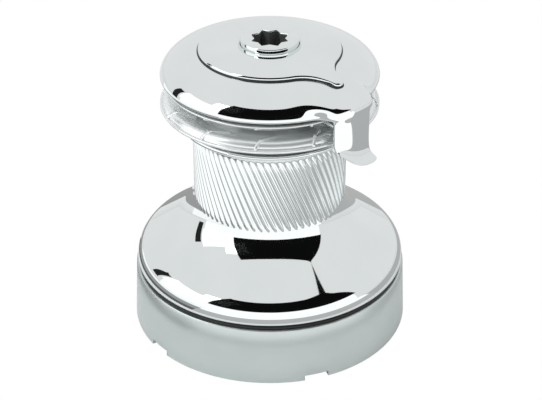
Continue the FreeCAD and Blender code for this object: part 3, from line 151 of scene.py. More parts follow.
def add_math(tree, operation, first, second):
    """A maths node between two values, each a socket or a plain number."""
    node = add_node(tree, "ShaderNodeMath", operation=operation)
    for socket, value in zip(node.inputs, (first, second)):
        if hasattr(value, "is_linked"):
            tree.links.new(value, socket)
        else:
            socket.default_value = value
    return node.outputs["Value"]


def add_noise(tree, vector, scale, detail):
    """A noise value whose scale is a socket or a plain number."""
    node = add_node(tree, "ShaderNodeTexNoise")
    node.inputs["Detail"].default_value = detail
    tree.links.new(vector, node.inputs["Vector"])
    if hasattr(scale, "is_linked"):
        tree.links.new(scale, node.inputs["Scale"])
    else:
        node.inputs["Scale"].default_value = scale
    return node.outputs["Fac"]


def make_polish_group():
    """Uneven polish: a slow waviness, and patches that are a touch duller."""
    group, given, result = new_group(
        "uneven_polish",
        {"Wave Scale": 30.0, "Haze Scale": 90.0},
        {"Wave": "NodeSocketFloat", "Haze": "NodeSocketFloat"})
    place = add_node(group, "ShaderNodeTexCoord").outputs["Object"]
    group.links.new(add_noise(group, place, given["Wave Scale"], detail=1.0), result["Wave"])
    patches = add_noise(group, place, given["Haze Scale"], detail=4.0)
    specks = add_noise(group, place, SPECK_SCALE, detail=2.0)
    group.links.new(add_math(group, "MULTIPLY", patches, specks), result["Haze"])
    return group


def make_turning_group():
    """Hair-thin lines that run round the axis, as a lathe leaves them."""
    group, given, result = new_group(
        "turning_lines", {"Line Scale": 2600.0}, {"Lines": "NodeSocketFloat"})
    place = add_node(group, "ShaderNodeTexCoord").outputs["Object"]
    parts = add_node(group, "ShaderNodeSeparateXYZ")
    group.links.new(place, parts.inputs["Vector"])
    across = add_math(group, "MULTIPLY", parts.outputs["X"], parts.outputs["X"])
    along = add_math(group, "MULTIPLY", parts.outputs["Y"], parts.outputs["Y"])
    radius = add_math(group, "SQRT", add_math(group, "ADD", across, along), 0.0)
    section = add_node(group, "ShaderNodeCombineXYZ")
    group.links.new(radius, section.inputs["X"])
    group.links.new(parts.outputs["Z"], section.inputs["Y"])
    lines = add_noise(group, section.outputs["Vector"], given["Line Scale"], detail=3.0)
    group.links.new(lines, result["Lines"])
    return group


def make_grain_group():
    """Fine pits, as on a blasted or cast surface."""
    group, given, result = new_group(
        "blasted_grain", {"Grain Scale": 2400.0},
        {"Grain": "NodeSocketFloat", "Cloud": "NodeSocketFloat"})
    place = add_node(group, "ShaderNodeTexCoord").outputs["Object"]
    group.links.new(add_noise(group, place, given["Grain Scale"], detail=5.0), result["Grain"])
    group.links.new(add_noise(group, place, CLOUD_SCALE, detail=3.0), result["Cloud"])
    return group


GROUPS = {}
for new_effect in (make_polish_group(), make_turning_group(), make_grain_group()):
    GROUPS[new_effect.name] = new_effect
print("shader groups:", sorted(GROUPS))


# %% [markdown]
# Each finish is a Principled shader. Flat colour would make even a good shape look
# like plastic, so the colour comes from a ramp that moves a few percent with a slow
# cloud, and the roughness follows the haze. Bumps carry the rest: waves of a tenth
# of a millimetre, and lines or grain far shallower than that.

# %% Tools for the finishes
NOISE_LOW, NOISE_HIGH = 0.3, 0.7
RAMP_LOW, RAMP_HIGH = 0.25, 0.75


def group_node(tree, name, **values):
    """Place a shader group. In a value's name an underscore stands for a space."""
    node = add_node(tree, "ShaderNodeGroup", node_tree=GROUPS[name])
    for title, value in values.items():
        node.inputs[title.replace("_", " ")].default_value = value
    return node.outputs


def spread(tree, value, low, high):
    """Map a noise value, which stays near its middle, onto a range."""
    node = add_node(tree, "ShaderNodeMapRange")
    node.inputs["From Min"].default_value = NOISE_LOW
    node.inputs["From Max"].default_value = NOISE_HIGH
    node.inputs["To Min"].default_value = low
    node.inputs["To Max"].default_value = high
    tree.links.new(value, node.inputs["Value"])
    return node.outputs["Result"]


def tinted(tree, value, dark, light):
    """Turn a noise value into a colour between two near neighbours."""
    ramp = add_node(tree, "ShaderNodeValToRGB")
    first, last = ramp.color_ramp.elements
    first.position, last.position = RAMP_LOW, RAMP_HIGH
    first.color, last.color = (*dark, 1.0), (*light, 1.0)
    tree.links.new(value, ramp.inputs["Fac"])
    return ramp.outputs["Color"]


def bumped(tree, shader, heights):
    """Chain bumps of (value, depth in mm) into the shader's normal."""
    normal = None
    for value, depth in heights:
        bump = add_node(tree, "ShaderNodeBump")
        bump.inputs["Distance"].default_value = depth * MM
        tree.links.new(value, bump.inputs["Height"])
        if normal is not None:
            tree.links.new(normal, bump.inputs["Normal"])
        normal = bump.outputs["Normal"]
    tree.links.new(normal, shader.inputs["Normal"])


def start_finish(name, metallic):
    """A material with nodes, its node tree and its Principled shader."""
    material = bpy.data.materials.new(name)
    material.use_nodes = True
    shader = material.node_tree.nodes["Principled BSDF"]
    shader.inputs["Metallic"].default_value = metallic
    return material, material.node_tree, shader


print("noise is read between", NOISE_LOW, "and", NOISE_HIGH)


# %% [markdown]
# Six metals and one polymer cover the winch. The drum, the arm and the socket are
# chromed and polished. The skirt's chrome lies on a blasted surface, so it blurs
# what it mirrors. The jaws are a tumbled alloy, between the two. A metal's colour in
# the shader is what it mirrors straight on, which is why the chrome is pale grey.

# %% Finishes
def make_metal(name, dark, light, rough, waves=0.0, lines=0.0, grain=0.0, metallic=1.0):
    """A metal between two colours, with bumps given as depths in millimetres."""
    material, tree, shader = start_finish(name, metallic)
    polish = group_node(tree, "uneven_polish", Wave_Scale=26.0, Haze_Scale=70.0)
    blasted = group_node(tree, "blasted_grain", Grain_Scale=2400.0)
    tree.links.new(tinted(tree, blasted["Cloud"], dark, light), shader.inputs["Base Color"])
    tree.links.new(spread(tree, polish["Haze"], *rough), shader.inputs["Roughness"])
    bumps = []
    if waves:
        bumps.append((polish["Wave"], waves))
    if lines:
        bumps.append((group_node(tree, "turning_lines", Line_Scale=2600.0)["Lines"], lines))
    if grain:
        bumps.append((blasted["Grain"], grain))
    bumped(tree, shader, bumps)
    return material


METALS = {
    "chrome": dict(dark=(0.80, 0.84, 0.84), light=(0.84, 0.875, 0.875), rough=(0.035, 0.06),
                   waves=0.10, lines=0.0006),
    "satin_chrome": dict(dark=(0.60, 0.665, 0.655), light=(0.64, 0.70, 0.69), rough=(0.36, 0.46),
                         grain=0.012),
    "jaw_alloy": dict(dark=(0.84, 0.87, 0.87), light=(0.89, 0.915, 0.915), rough=(0.22, 0.30),
                      lines=0.002, metallic=0.6),
    "cast_alloy": dict(dark=(0.48, 0.49, 0.49), light=(0.56, 0.57, 0.57), rough=(0.45, 0.6),
                       grain=0.05),
    "stainless": dict(dark=(0.55, 0.56, 0.56), light=(0.62, 0.63, 0.63), rough=(0.2, 0.3),
                      lines=0.003),
    "gear_bronze": dict(dark=(0.62, 0.42, 0.20), light=(0.72, 0.50, 0.26), rough=(0.28, 0.4),
                        grain=0.02),
}
FINISHES = {name: make_metal(name, **values) for name, values in METALS.items()}


def make_black_polymer():
    """The dull black of the seal, also used for the painted shade in the star and the painted
    shadow round the plate.
    """
    material, tree, shader = start_finish("black_polymer", 0.0)
    blasted = group_node(tree, "blasted_grain", Grain_Scale=1800.0)
    tree.links.new(tinted(tree, blasted["Cloud"], (0.008, 0.010, 0.010), (0.016, 0.018, 0.018)),
                   shader.inputs["Base Color"])
    tree.links.new(spread(tree, blasted["Grain"], low=0.4, high=0.6), shader.inputs["Roughness"])
    bumped(tree, shader, [(blasted["Grain"], 0.01)])
    return material


FINISHES["black_polymer"] = make_black_polymer()

# %% [markdown]
# The frame's own pieces, such as gears and screws, keep their shape. Each comes with
# a slot whose name says its finish, so the slot only needs its material.

# %% Finishes for the frame's pieces
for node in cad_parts.values():
    slot_name = node.data.materials[0].name.split(".")[0]
    for index in range(len(node.data.materials)):
        node.data.materials[index] = FINISHES.get(slot_name, FINISHES["stainless"])
print("finishes:", sorted(FINISHES))


# %% [markdown]
# The drum is one casting. A flange covers the base, a hollow flank sweeps up from
# it, and the waist carries slanting ribs that bite the rope. The flank is where the
# chrome shows most, so it is a chain of Bezier curves. The ribs could be separate
# bars, but on the real drum they grow out of the wall, so here the wall is spun
# with eight columns to a rib, and the columns lean and rise to form them.

# %% The drum's section
RIB_VALLEY = 48.1
GRIP_BASE, GRIP_TOP = 95.0, 136.0
GRIP_ROWS = 26


def drum_section():
    """Foot, flange, flank, grip and crown outside, then the stepped bore back down."""
    outer = [(84.8, 42.3), (88.1, 42.3), (88.6, 42.8)]
    outer += curve((88.6, 42.8), (88.9, 48.6), (86.6, 53.2), (82.4, 56.4), steps=14)
    outer += curve((82.4, 56.4), (75.0, 61.4), (68.0, 66.2), (62.5, 70.0), steps=16)
    outer += curve((62.5, 70.0), (54.0, 75.8), (48.4, 83.5), (RIB_VALLEY, GRIP_BASE), steps=26)
    outer += [(RIB_VALLEY, GRIP_BASE + (GRIP_TOP - GRIP_BASE) * row / GRIP_ROWS)
              for row in range(1, GRIP_ROWS + 1)]
    outer += curve((RIB_VALLEY, GRIP_TOP), (48.3, 141.0), (52.5, 143.2), (57.2, 143.8), steps=14)
    outer += curve((57.2, 143.8), (58.4, 144.2), (58.5, 145.0), (58.5, 145.8), steps=4)
    outer += [(58.2, 146.8), (57.6, 147.0), (33.0, 147.0), (33.0, 146.0)]
    bore = [(29.0, 146.0), (29.0, 127.0), (41.5, 119.5), (41.5, 91.5), (29.0, 84.0), (29.0, 63.9)]
    return outer + bore + [(56.0, 63.9), (60.9, 65.4), (84.8, 49.1)]


print("the drum's section has", len(drum_section()), "points")

# %% [markdown]
# A rib is steep at its sides and soft at its crest, so its columns crowd there. It
# rounds off quickly at its foot and sinks slowly into the crown at its top. Below
# the ribs the columns even out again, which keeps the flank's mirror images calm.

# %% Drum
RIB_COUNT = 68
RIB_LEAN = math.tan(math.radians(-22.5))
RIB_HEIGHT = 1.6
RIB_BASE, RIB_TOP = 86.5, 139.0
RIB_FOOT_LENGTH, RIB_RUN_OUT = 3.2, 8.0
BORE_LIMIT = 46.0
EVEN_BELOW = 60.0
# Where each of a rib's eight columns stands across the pitch, and how high it is.
RIB_COLUMNS = ((-0.5, 0.0), (-0.34, 0.06), (-0.25, 0.55), (-0.12, 0.94),
               (0.0, 1.0), (0.12, 0.94), (0.25, 0.55), (0.34, 0.06))


def raise_ribs(radius, angle, height):
    """Lift the wall to its ribs, gather their columns and lean them."""
    if radius < BORE_LIMIT:
        return radius, angle, height
    pitch = FULL_TURN / RIB_COUNT
    column = round(angle / pitch * len(RIB_COLUMNS))
    rib, place = divmod(column, len(RIB_COLUMNS))
    across, share = RIB_COLUMNS[place]
    if RIB_BASE < height < RIB_TOP:
        foot = math.sqrt(smooth_step(RIB_BASE, RIB_BASE + RIB_FOOT_LENGTH, height))
        ends = foot * smooth_step(RIB_TOP, RIB_TOP - RIB_RUN_OUT, height)
        radius = max(radius, RIB_VALLEY + RIB_HEIGHT * share * ends)
    even = (rib + place / len(RIB_COLUMNS)) * pitch
    gathered = (rib + across) * pitch
    blend = smooth_step(EVEN_BELOW, RIB_BASE - 1.0, height)
    climb = min(max(height - RIB_BASE, 0.0), RIB_TOP - RIB_BASE)
    return radius, even + (gathered - even) * blend + climb * RIB_LEAN / RIB_VALLEY, height


drum_mesh = lathe(drum_section(), RIB_COUNT * len(RIB_COLUMNS))
move_each(drum_mesh, raise_ribs)
finish_piece(drum_mesh, "drum_shell", FINISHES["chrome"], "drum", ["drum"])

# %% [markdown]
# Between the jaws the casting goes on as a neck. No polishing wheel reaches it, so it
# is duller than the rest, and a ring of its own lets it have the jaws' finish.

# %% Drum neck
NECK_COLUMNS = 96
neck_section = [(33.0, 146.9), (44.0, 146.9), (44.0, 164.5), (33.0, 164.5)]
neck_mesh = lathe(neck_section, NECK_COLUMNS)
finish_piece(neck_mesh, "drum_neck", FINISHES["jaw_alloy"], "drum")


# %% [markdown]
# The skirt hides the base casting. It is duller than the drum, with a small
# chamfer at the top, a seam above it, and drain notches cut into its foot.

# %% Base skirt
ROUND_COLUMNS = 180
DRAIN_COUNT = 5
DRAIN_ANGLE = math.radians(-70.7)
DRAIN_BLOCK = (16.0, 16.0, 7.0)
DRAIN_RADIUS = 89.0
SOFT_WIDTH, SOFT_ANGLE = 0.3, math.radians(35)


def notch_cutter():
    """The blocks that cut the drain notches."""
    bm = bmesh.new()
    for number in range(DRAIN_COUNT):
        made = bmesh.ops.create_cube(bm, size=1.0)["verts"]
        bmesh.ops.scale(bm, vec=DRAIN_BLOCK, verts=made)
        bmesh.ops.translate(bm, vec=(DRAIN_RADIUS, 0.0, 0.0), verts=made)
        bmesh.ops.rotate(bm, verts=made, cent=(0, 0, 0),
                         matrix=turn_about_z(DRAIN_ANGLE + number * FULL_TURN / DRAIN_COUNT))
    return bm


def cut_away(piece, cutter_mesh):
    """Cut a bmesh in millimetres out of a piece and round the new edges."""
    bmesh.ops.scale(cutter_mesh, vec=(MM, MM, MM), verts=cutter_mesh.verts)
    mesh = bpy.data.meshes.new("cutter")
    cutter_mesh.to_mesh(mesh)
    cutter_mesh.free()
    cutter = bpy.data.objects.new("cutter", mesh)
    bpy.context.scene.collection.objects.link(cutter)
    cut = piece.modifiers.new("notches", "BOOLEAN")
    cut.operation = "DIFFERENCE"
    cut.object = cutter
    softened = piece.modifiers.new("soft_edges", "BEVEL")
    softened.width = SOFT_WIDTH * MM
    softened.segments = 2
    softened.limit_method = "ANGLE"
    softened.angle_limit = SOFT_ANGLE
    depsgraph = bpy.context.evaluated_depsgraph_get()
    made = bpy.data.meshes.new_from_object(piece.evaluated_get(depsgraph))
    piece.modifiers.clear()
    piece.data = made
    bpy.data.objects.remove(cutter)


skirt_section = [(91.5, 0.0), (90.9, 12.0), (90.3, 25.0), (89.6, 38.3), (88.9, 39.2),
                 (78.5, 39.2), (78.5, 37.0), (85.8, 37.0), (86.0, 9.2), (86.0, 0.0)]
skirt_mesh = lathe(skirt_section, ROUND_COLUMNS)
skirt = finish_piece(skirt_mesh, "base_skirt_shell", FINISHES["satin_chrome"], "base",
                     ["base_skirt"])
cut_away(skirt, notch_cutter())
print("skirt has", len(skirt.data.polygons), "faces with its notches")

# %% [markdown]
# Between the skirt and the turning drum lies a black seal ring. All that shows of it
# is a dark line, so a plain ring with a small chamfer is enough.

# %% Seal ring
seal_section = [(78.5, 39.2), (88.0, 39.2), (88.0, 40.6), (87.4, 41.2), (78.5, 41.2)]
seal_mesh = lathe(seal_section, ROUND_COLUMNS)
finish_piece(seal_mesh, "labyrinth_seal_ring", FINISHES["black_polymer"], "base",
             ["labyrinth_seal"])


# %% [markdown]
# The two jaws are dished discs that face each other and pinch the rope between
# slanting ribs. A rib is a bar whose top follows the dish, so it is made from a
# cube that is cut into short lengths, bent to the dish and then set out twelve
# times round the axis.

# %% The jaws' dishes and ribs
JAW_RIBS = 12
JAW_RIB_SKEW = math.radians(-34.5)
JAW_RIB_ANGLE = math.radians(-97.6)
JAW_RIB_WIDTH = 1.8
JAW_RIB_RUN_OUT = 4.0
JAW_RIB_ROUNDING = 0.35
JAW_RIB_CUTS = 14
SHARP_ANGLE = 1.0
DISH_FOOT = 51.0
LOWER_FLAT, LOWER_CREST = (DISH_FOOT, 157.6), (64.6, 161.6)
LOWER_LIP = (69.6, 157.6)
UPPER_FLAT, UPPER_SLOPE = 164.5, 6.7 / 16.0
UPPER_RIB_SINK = 1.0


def lower_dish(radius):
    """Height of the lower jaw's upper side."""
    rise = LOWER_CREST[1] - LOWER_FLAT[1]
    if radius < LOWER_CREST[0]:
        return LOWER_FLAT[1] + (radius - LOWER_FLAT[0]) * rise / (LOWER_CREST[0] - LOWER_FLAT[0])
    return LOWER_CREST[1] - rise * smooth_step(LOWER_CREST[0], LOWER_LIP[0], radius)


def upper_dish(radius):
    """Height of the upper jaw's lower side."""
    return UPPER_FLAT + (max(radius, DISH_FOOT) - DISH_FOOT) * UPPER_SLOPE


def make_rib(dish, outer, length, rise, sink):
    """A bar from the rim inwards, which rises above a dish or hangs below it."""
    rib = bmesh.new()
    bmesh.ops.create_cube(rib, size=1.0)
    bmesh.ops.scale(rib, vec=(length, JAW_RIB_WIDTH, 1.0), verts=rib.verts)
    bmesh.ops.translate(rib, vec=(outer - length / 2, 0.0, 0.0), verts=rib.verts)
    long_edges = [e for e in rib.edges if abs(e.verts[0].co.x - e.verts[1].co.x) > 1.0]
    bmesh.ops.subdivide_edges(rib, edges=long_edges, cuts=JAW_RIB_CUTS, use_grid_fill=True)
    bmesh.ops.rotate(rib, verts=rib.verts, cent=(outer, 0, 0), matrix=turn_about_z(JAW_RIB_SKEW))
    for vert in rib.verts:
        radius = math.hypot(vert.co.x, vert.co.y)
        ends = smooth_step(outer - length, outer - length + JAW_RIB_RUN_OUT, vert.co.x)
        vert.co.z = dish(radius) + (rise * ends if vert.co.z > 0 else -sink)
    sharp_edges = [e for e in rib.edges
                   if len(e.link_faces) == 2 and e.calc_face_angle() > SHARP_ANGLE]
    bmesh.ops.bevel(rib, geom=sharp_edges, offset=JAW_RIB_ROUNDING, segments=2, profile=0.5,
                    affect="EDGES", material=-1)
    return rib


def set_out_ribs(bm, rib):
    """Put the same rib round the axis of a jaw, once for each of its ribs."""
    mesh = bpy.data.meshes.new("rib")
    bmesh.ops.rotate(rib, verts=rib.verts, cent=(0, 0, 0), matrix=turn_about_z(JAW_RIB_ANGLE))
    for _ in range(JAW_RIBS):
        bmesh.ops.rotate(rib, verts=rib.verts, cent=(0, 0, 0),
                         matrix=turn_about_z(FULL_TURN / JAW_RIBS))
        rib.to_mesh(mesh)
        bm.from_mesh(mesh)
    rib.free()
    bpy.data.meshes.remove(mesh)


print("the jaws' ribs stand", 360 / JAW_RIBS, "degrees apart")

# %% [markdown]
# The lower jaw slides on the drum's neck and is pushed up by a spring. Its rim has a
# raised lip, which shows as the bright line round the jaws.

# %% Lower jaw
lower_section = [(44.05, 151.5), (55.0, 151.5), (68.6, 155.2), (69.6, 155.5), (70.0, 156.1),
                 (70.0, 157.0), (69.6, 157.5), (69.0, 157.6), (68.6, 157.2), (68.2, 157.5)]
lower_section += curve((68.2, 157.5), (67.6, 160.0), (66.8, 161.6), LOWER_CREST, steps=8)
lower_section += [(58.0, 159.7), LOWER_FLAT, (44.05, 157.6)]
lower_mesh = lathe(lower_section, ROUND_COLUMNS)
set_out_ribs(lower_mesh, make_rib(lower_dish, outer=69.2, length=19.0, rise=1.2, sink=1.5))
finish_piece(lower_mesh, "lower_jaw_disc", FINISHES["jaw_alloy"], "lower_jaw",
             ["lower_jaw"])

# %% [markdown]
# The upper jaw is screwed to the neck and turns with the drum. It is the same kind
# of dish turned over, so its ribs hang down into the groove. Their backs lie a
# millimetre inside the disc, which leaves no gap where the dish bends.

# %% Upper jaw
upper_section = [(33.0, 164.5), (51.0, 164.5), (66.6, 171.0), (67.0, 171.4), (67.0, 172.0),
                 (66.6, 172.5), (52.0, 168.5), (33.0, 168.5)]
upper_mesh = lathe(upper_section, ROUND_COLUMNS)
set_out_ribs(upper_mesh, make_rib(lambda radius: upper_dish(radius) + UPPER_RIB_SINK,
                                  outer=66.0, length=16.0, rise=0.0, sink=2.2))
finish_piece(upper_mesh, "upper_jaw_disc", FINISHES["jaw_alloy"], "drum",
             ["upper_jaw"])


# %% [markdown]
# The stripper arm starts as a flat dome over the jaws. One side of the dome swells
# out, turns down and becomes the arm, which ends in a flared toe that feeds the
# rope up into the jaws. Nothing on it is sharp, so it is a subdivision surface. The
# dome's cage is spun, its columns are set closer at the arm, and each row of the
# cage slides from the dome's section to the arm's. Then the rim's faces there are
# extruded down level by level.

# %% The cover's dome and columns
# Columns near the arm stand at these angles from its middle, the rest are even.
CLOSE_COLUMNS = (-32.0, -25.0, -19.5, -15.8, -12.8, -7.4, -1.6, 4.2, 9.6, 12.6, 16.0, 21.0, 28.0)
ARM_LEFT, ARM_RIGHT = 4, 8
COVER_COLUMNS = 48
COLUMN_STEP = FULL_TURN / COVER_COLUMNS
DOME_TOP, DOME_FALL, DOME_INNER, DOME_OUTER = 193.7, 3.8, 18.9, 55.0
BROW_START, RIM_START, SWELL_FULL = -33.0, -18.0, -12.5
BROW_HEIGHT, RIM_SWELL_HEIGHT = 187.0, 177.0
SWELL_END, SWELL_FALLS = 19.0, 9.0


def cover_height(radius):
    """Height of the dome's outer side, from the socket to the brow."""
    share = (radius - DOME_INNER) / (DOME_OUTER - DOME_INNER)
    return DOME_TOP - DOME_FALL * share ** 2


def column_angle(column):
    """Angle of a cage column from the arm's middle."""
    if column < len(CLOSE_COLUMNS):
        return math.radians(CLOSE_COLUMNS[column])
    wide = COVER_COLUMNS - len(CLOSE_COLUMNS) + 1
    share = (column - len(CLOSE_COLUMNS) + 1) / wide
    last, first = CLOSE_COLUMNS[-1], CLOSE_COLUMNS[0] + 360.0
    return math.radians(last + (first - last) * share)


def swell(angle, height):
    """How far the dome has swollen towards the arm, from 0 to 1. The rim swells last."""
    away = math.degrees(angle)
    delay = smooth_step(BROW_HEIGHT, RIM_SWELL_HEIGHT, height)
    start = BROW_START + (RIM_START - BROW_START) * delay
    return smooth_step(start, SWELL_FULL, away) * smooth_step(SWELL_END, SWELL_FALLS, away)


print("the cover has", COVER_COLUMNS, "columns, of which", len(CLOSE_COLUMNS), "are near the arm")

# %% [markdown]
# The cage is spun with even columns first, because that gives clean quads. Then each
# vertex looks up its row and column and takes its place.

# %% The cover's cage
# Every row of the cage has a place on the plain dome and one on the arm's shoulder.
cover_rows = [
    ((18.9, 193.8), (18.9, 193.8)),
    ((24.0, 193.7), (24.0, 193.7)),
    ((36.0, 192.95), (36.0, 192.95)),
    ((47.5, 191.45), (47.5, 191.45)),
    ((55.4, 189.95), (56.4, 190.2)),
    ((61.0, 187.5), (64.2, 188.6)),
    ((64.9, 185.1), (70.8, 186.4)),
    ((67.8, 182.0), (75.8, 183.7)),
    ((69.5, 178.4), (78.1, 181.2)),
    ((69.9, 176.7), (78.6, 177.8)),
    ((69.3, 175.2), (78.4, 175.4)),
    ((67.2, 175.2), (72.8, 175.4)),
    ((66.6, 176.4), (72.4, 176.8)),
    ((66.4, 179.2), (71.6, 179.4)),
    ((62.2, 183.4), (65.0, 183.6)),
    ((54.0, 186.4), (54.0, 186.4)),
    ((40.0, 188.6), (40.0, 188.6)),
    ((27.0, 189.6), (27.0, 189.6)),
    ((18.9, 189.8), (18.9, 189.8)),
]
RIM_HEIGHT = 175.2


def row_key(radius, height):
    """A row's place on the dome, rounded so that it can be looked up."""
    return round(radius, 2), round(height, 2)


shoulder_places = {row_key(*dome): shoulder for dome, shoulder in cover_rows}
arm_mesh = lathe([dome for dome, shoulder in cover_rows], COVER_COLUMNS)


def gather_and_swell(radius, angle, height):
    """Set a cage vertex on its column, between the dome's place and the shoulder's."""
    from_arm = column_angle(round(angle / COLUMN_STEP) % COVER_COLUMNS)
    shoulder = shoulder_places[row_key(radius, height)]
    amount = swell((from_arm + math.pi) % FULL_TURN - math.pi, height)
    radius += (shoulder[0] - radius) * amount
    height += (shoulder[1] - height) * amount
    return radius, from_arm + ARM_ANGLE, height


def rim_faces(bm):
    """The rim's lower faces between the arm's outermost columns."""
    found = []
    for face in bm.faces:
        if all(abs(v.co.z - RIM_HEIGHT) < 0.01 for v in face.verts):
            middle = face.calc_center_median()
            column = (math.atan2(middle.y, middle.x) % FULL_TURN) / COLUMN_STEP
            if ARM_LEFT < column < ARM_RIGHT:
                found.append(face)
    return found


rim = rim_faces(arm_mesh)
move_each(arm_mesh, gather_and_swell)
print("the arm grows from", len(rim), "faces of the rim")

# %% [markdown]
# The arm is one run of extrusions. Its foot slants, because the rope comes up from
# the left, and the last levels flare outwards into the toe.

# %% Stripper arm
FACE_FLATNESS = 0.8
# Each level of the arm: left and right edge from its middle in degrees, the heights
# of those edges, how far the middle hangs below them, and both faces' radii.
ARM_LEVELS = (
    (-12.8, 9.6, 172.0, 172.0, 0.0, 78.5, 73.0),
    (-12.8, 9.4, 166.5, 165.0, 0.0, 78.5, 73.0),
    (-12.8, 9.4, 161.0, 155.5, 1.4, 78.5, 73.0),
    (-12.8, 9.6, 157.4, 148.6, 3.4, 78.8, 73.0),
    (-12.2, 10.4, 155.0, 144.8, 4.8, 80.4, 73.4),
    (-11.2, 11.4, 153.6, 142.6, 5.4, 82.8, 74.6),
    (-10.2, 11.8, 152.4, 140.6, 5.4, 84.2, 77.0),
)


def grow_arm(bm, faces):
    """Extrude the rim's faces down through the levels."""
    for left, right, left_height, right_height, hang, outside, inside in ARM_LEVELS:
        grown = bmesh.ops.extrude_face_region(bm, geom=faces)["geom"]
        bmesh.ops.delete(bm, geom=faces, context="FACES")
        faces = [item for item in grown if isinstance(item, bmesh.types.BMFace)]
        verts = list({v for face in faces for v in face.verts})
        angles = [math.atan2(v.co.y, v.co.x) - ARM_ANGLE for v in verts]
        radii = [math.hypot(v.co.x, v.co.y) for v in verts]
        low, high = min(angles), max(angles)
        middle = (min(radii) + max(radii)) / 2
        for vert, angle, radius in zip(verts, angles, radii):
            share = (angle - low) / (high - low)
            bow = 4 * share * (1 - share)
            reach = outside - FACE_FLATNESS * bow if radius > middle else inside
            turned = math.radians(left + (right - left) * share) + ARM_ANGLE
            height = left_height + (right_height - left_height) * share - hang * bow
            vert.co = (reach * math.cos(turned), reach * math.sin(turned), height)


grow_arm(arm_mesh, rim)
bmesh.ops.recalc_face_normals(arm_mesh, faces=arm_mesh.faces)
finish_piece(arm_mesh, "stripper_arm_shell", FINISHES["chrome"], "base",
             ["stripper_arm"], smooth_levels=3)


# %% [markdown]
# Behind the arm a tongue reaches into the groove between the jaws and lifts the
# rope out. It is a plain bevelled bar.

# %% Stripper tongue
TONGUE_SIZE = (21.0, 17.0, 3.4)
TONGUE_MIDDLE = (63.5, -1.0, 165.6)
TONGUE_ROUNDING = 1.2
tongue_mesh = bmesh.new()
bmesh.ops.create_cube(tongue_mesh, size=1.0)
bmesh.ops.scale(tongue_mesh, vec=TONGUE_SIZE, verts=tongue_mesh.verts)
bmesh.ops.bevel(tongue_mesh, geom=tongue_mesh.edges[:], offset=TONGUE_ROUNDING, segments=3,
                profile=0.5, affect="EDGES", material=-1)
bmesh.ops.translate(tongue_mesh, vec=TONGUE_MIDDLE, verts=tongue_mesh.verts)
bmesh.ops.rotate(tongue_mesh, verts=tongue_mesh.verts, cent=(0, 0, 0),
                 matrix=turn_about_z(ARM_ANGLE))
finish_piece(tongue_mesh, "stripper_tongue", FINISHES["chrome"], "base",
             ["stripper_finger"])


# %% [markdown]
# The cover plate is a round plate with a tail that points along the arm. Hollow
# sides lead from the circle into the tail. The plate is spun like everything else,
# and then each column is stretched to the teardrop's outline, which is worked out
# from three circles: the plate, the tail's tip and the hollow between them.

# %% The teardrop's outline
PLATE_CIRCLE, TAIL_REACH, TAIL_TIP, TAIL_WAIST = 45.2, 59.0, 4.2, 26.0
FAR, NEAR = PLATE_CIRCLE + TAIL_WAIST, TAIL_TIP + TAIL_WAIST
HOLLOW_X = (FAR ** 2 - NEAR ** 2 + TAIL_REACH ** 2) / (2 * TAIL_REACH)
HOLLOW_Y = math.sqrt(FAR ** 2 - HOLLOW_X ** 2)
LEAVE = math.atan2(HOLLOW_Y, HOLLOW_X)
MEET = math.atan2(TAIL_TIP * HOLLOW_Y / NEAR,
                  TAIL_REACH + TAIL_TIP * (HOLLOW_X - TAIL_REACH) / NEAR)


def teardrop_radius(angle):
    """Distance from the centre to the outline, for an angle from the tail."""
    away = abs(angle)
    if away >= LEAVE:
        return PLATE_CIRCLE
    if away >= MEET:
        along = HOLLOW_X * math.cos(away) + HOLLOW_Y * math.sin(away)
        return along - math.sqrt(max(along ** 2 - FAR ** 2 + TAIL_WAIST ** 2, 0.0))
    along = TAIL_REACH * math.cos(away)
    return along + math.sqrt(max(along ** 2 - TAIL_REACH ** 2 + TAIL_TIP ** 2, 0.0))


print("the tail's hollow sides start", round(math.degrees(LEAVE), 1), "degrees from its middle")

# %% [markdown]
# The plate's edge is a rounding of about two millimetres above an undercut. In the
# section, heights count from the plate's top and the edge's radii from the outline,
# so that one section serves every column.

# %% Cover plate
PLATE_COLUMNS = 240
PLATE_HOLE = 18.9
PLATE_RISE = 2.9
TAIL_GATHER = 0.6
EDGE_ZONE = 43.0
STRETCH_START, STRETCH_END, STRETCH_SHARE = 22.0, 40.5, 0.98
TAIL_LIFT, LIFT_START, LIFT_END = 0.7, 54.0, 64.0
PLATE_EDGE_ROWS = [(-0.5, -3.2), (-0.5, -2.2), (0.0, -2.1), (0.0, -1.7), (-0.13, -1.05),
                   (-0.5, -0.5), (-1.05, -0.13), (-1.8, 0.0), (-2.4, 0.0)]
plate_section = [(PLATE_HOLE, -3.2), (PLATE_HOLE, 0.0)]
plate_section += [(STRETCH_START + 3.0 * step, 0.0) for step in range(7)]
plate_section += [(PLATE_CIRCLE + inset, drop) for inset, drop in reversed(PLATE_EDGE_ROWS)]


def stretch_plate(radius, angle, height):
    """Draw a round plate out to the teardrop and lay it on the dome."""
    turned = (angle + math.pi) % FULL_TURN - math.pi
    turned -= TAIL_GATHER * math.sin(turned)
    inset = radius - PLATE_CIRCLE
    outline = teardrop_radius(turned)
    share = smooth_step(STRETCH_START, STRETCH_END, radius)
    if radius > EDGE_ZONE:
        reach = outline + inset
    else:
        reach = radius + (outline - PLATE_CIRCLE) * share * STRETCH_SHARE
    swollen = TAIL_LIFT * smooth_step(LIFT_START, LIFT_END, reach)
    return reach, turned + ARM_ANGLE, cover_height(reach) + swollen + PLATE_RISE + height


plate_mesh = lathe(plate_section, PLATE_COLUMNS)
move_each(plate_mesh, stretch_plate)
finish_piece(plate_mesh, "cover_plate_shell", FINISHES["chrome"], "base",
             ["cover_plate"])
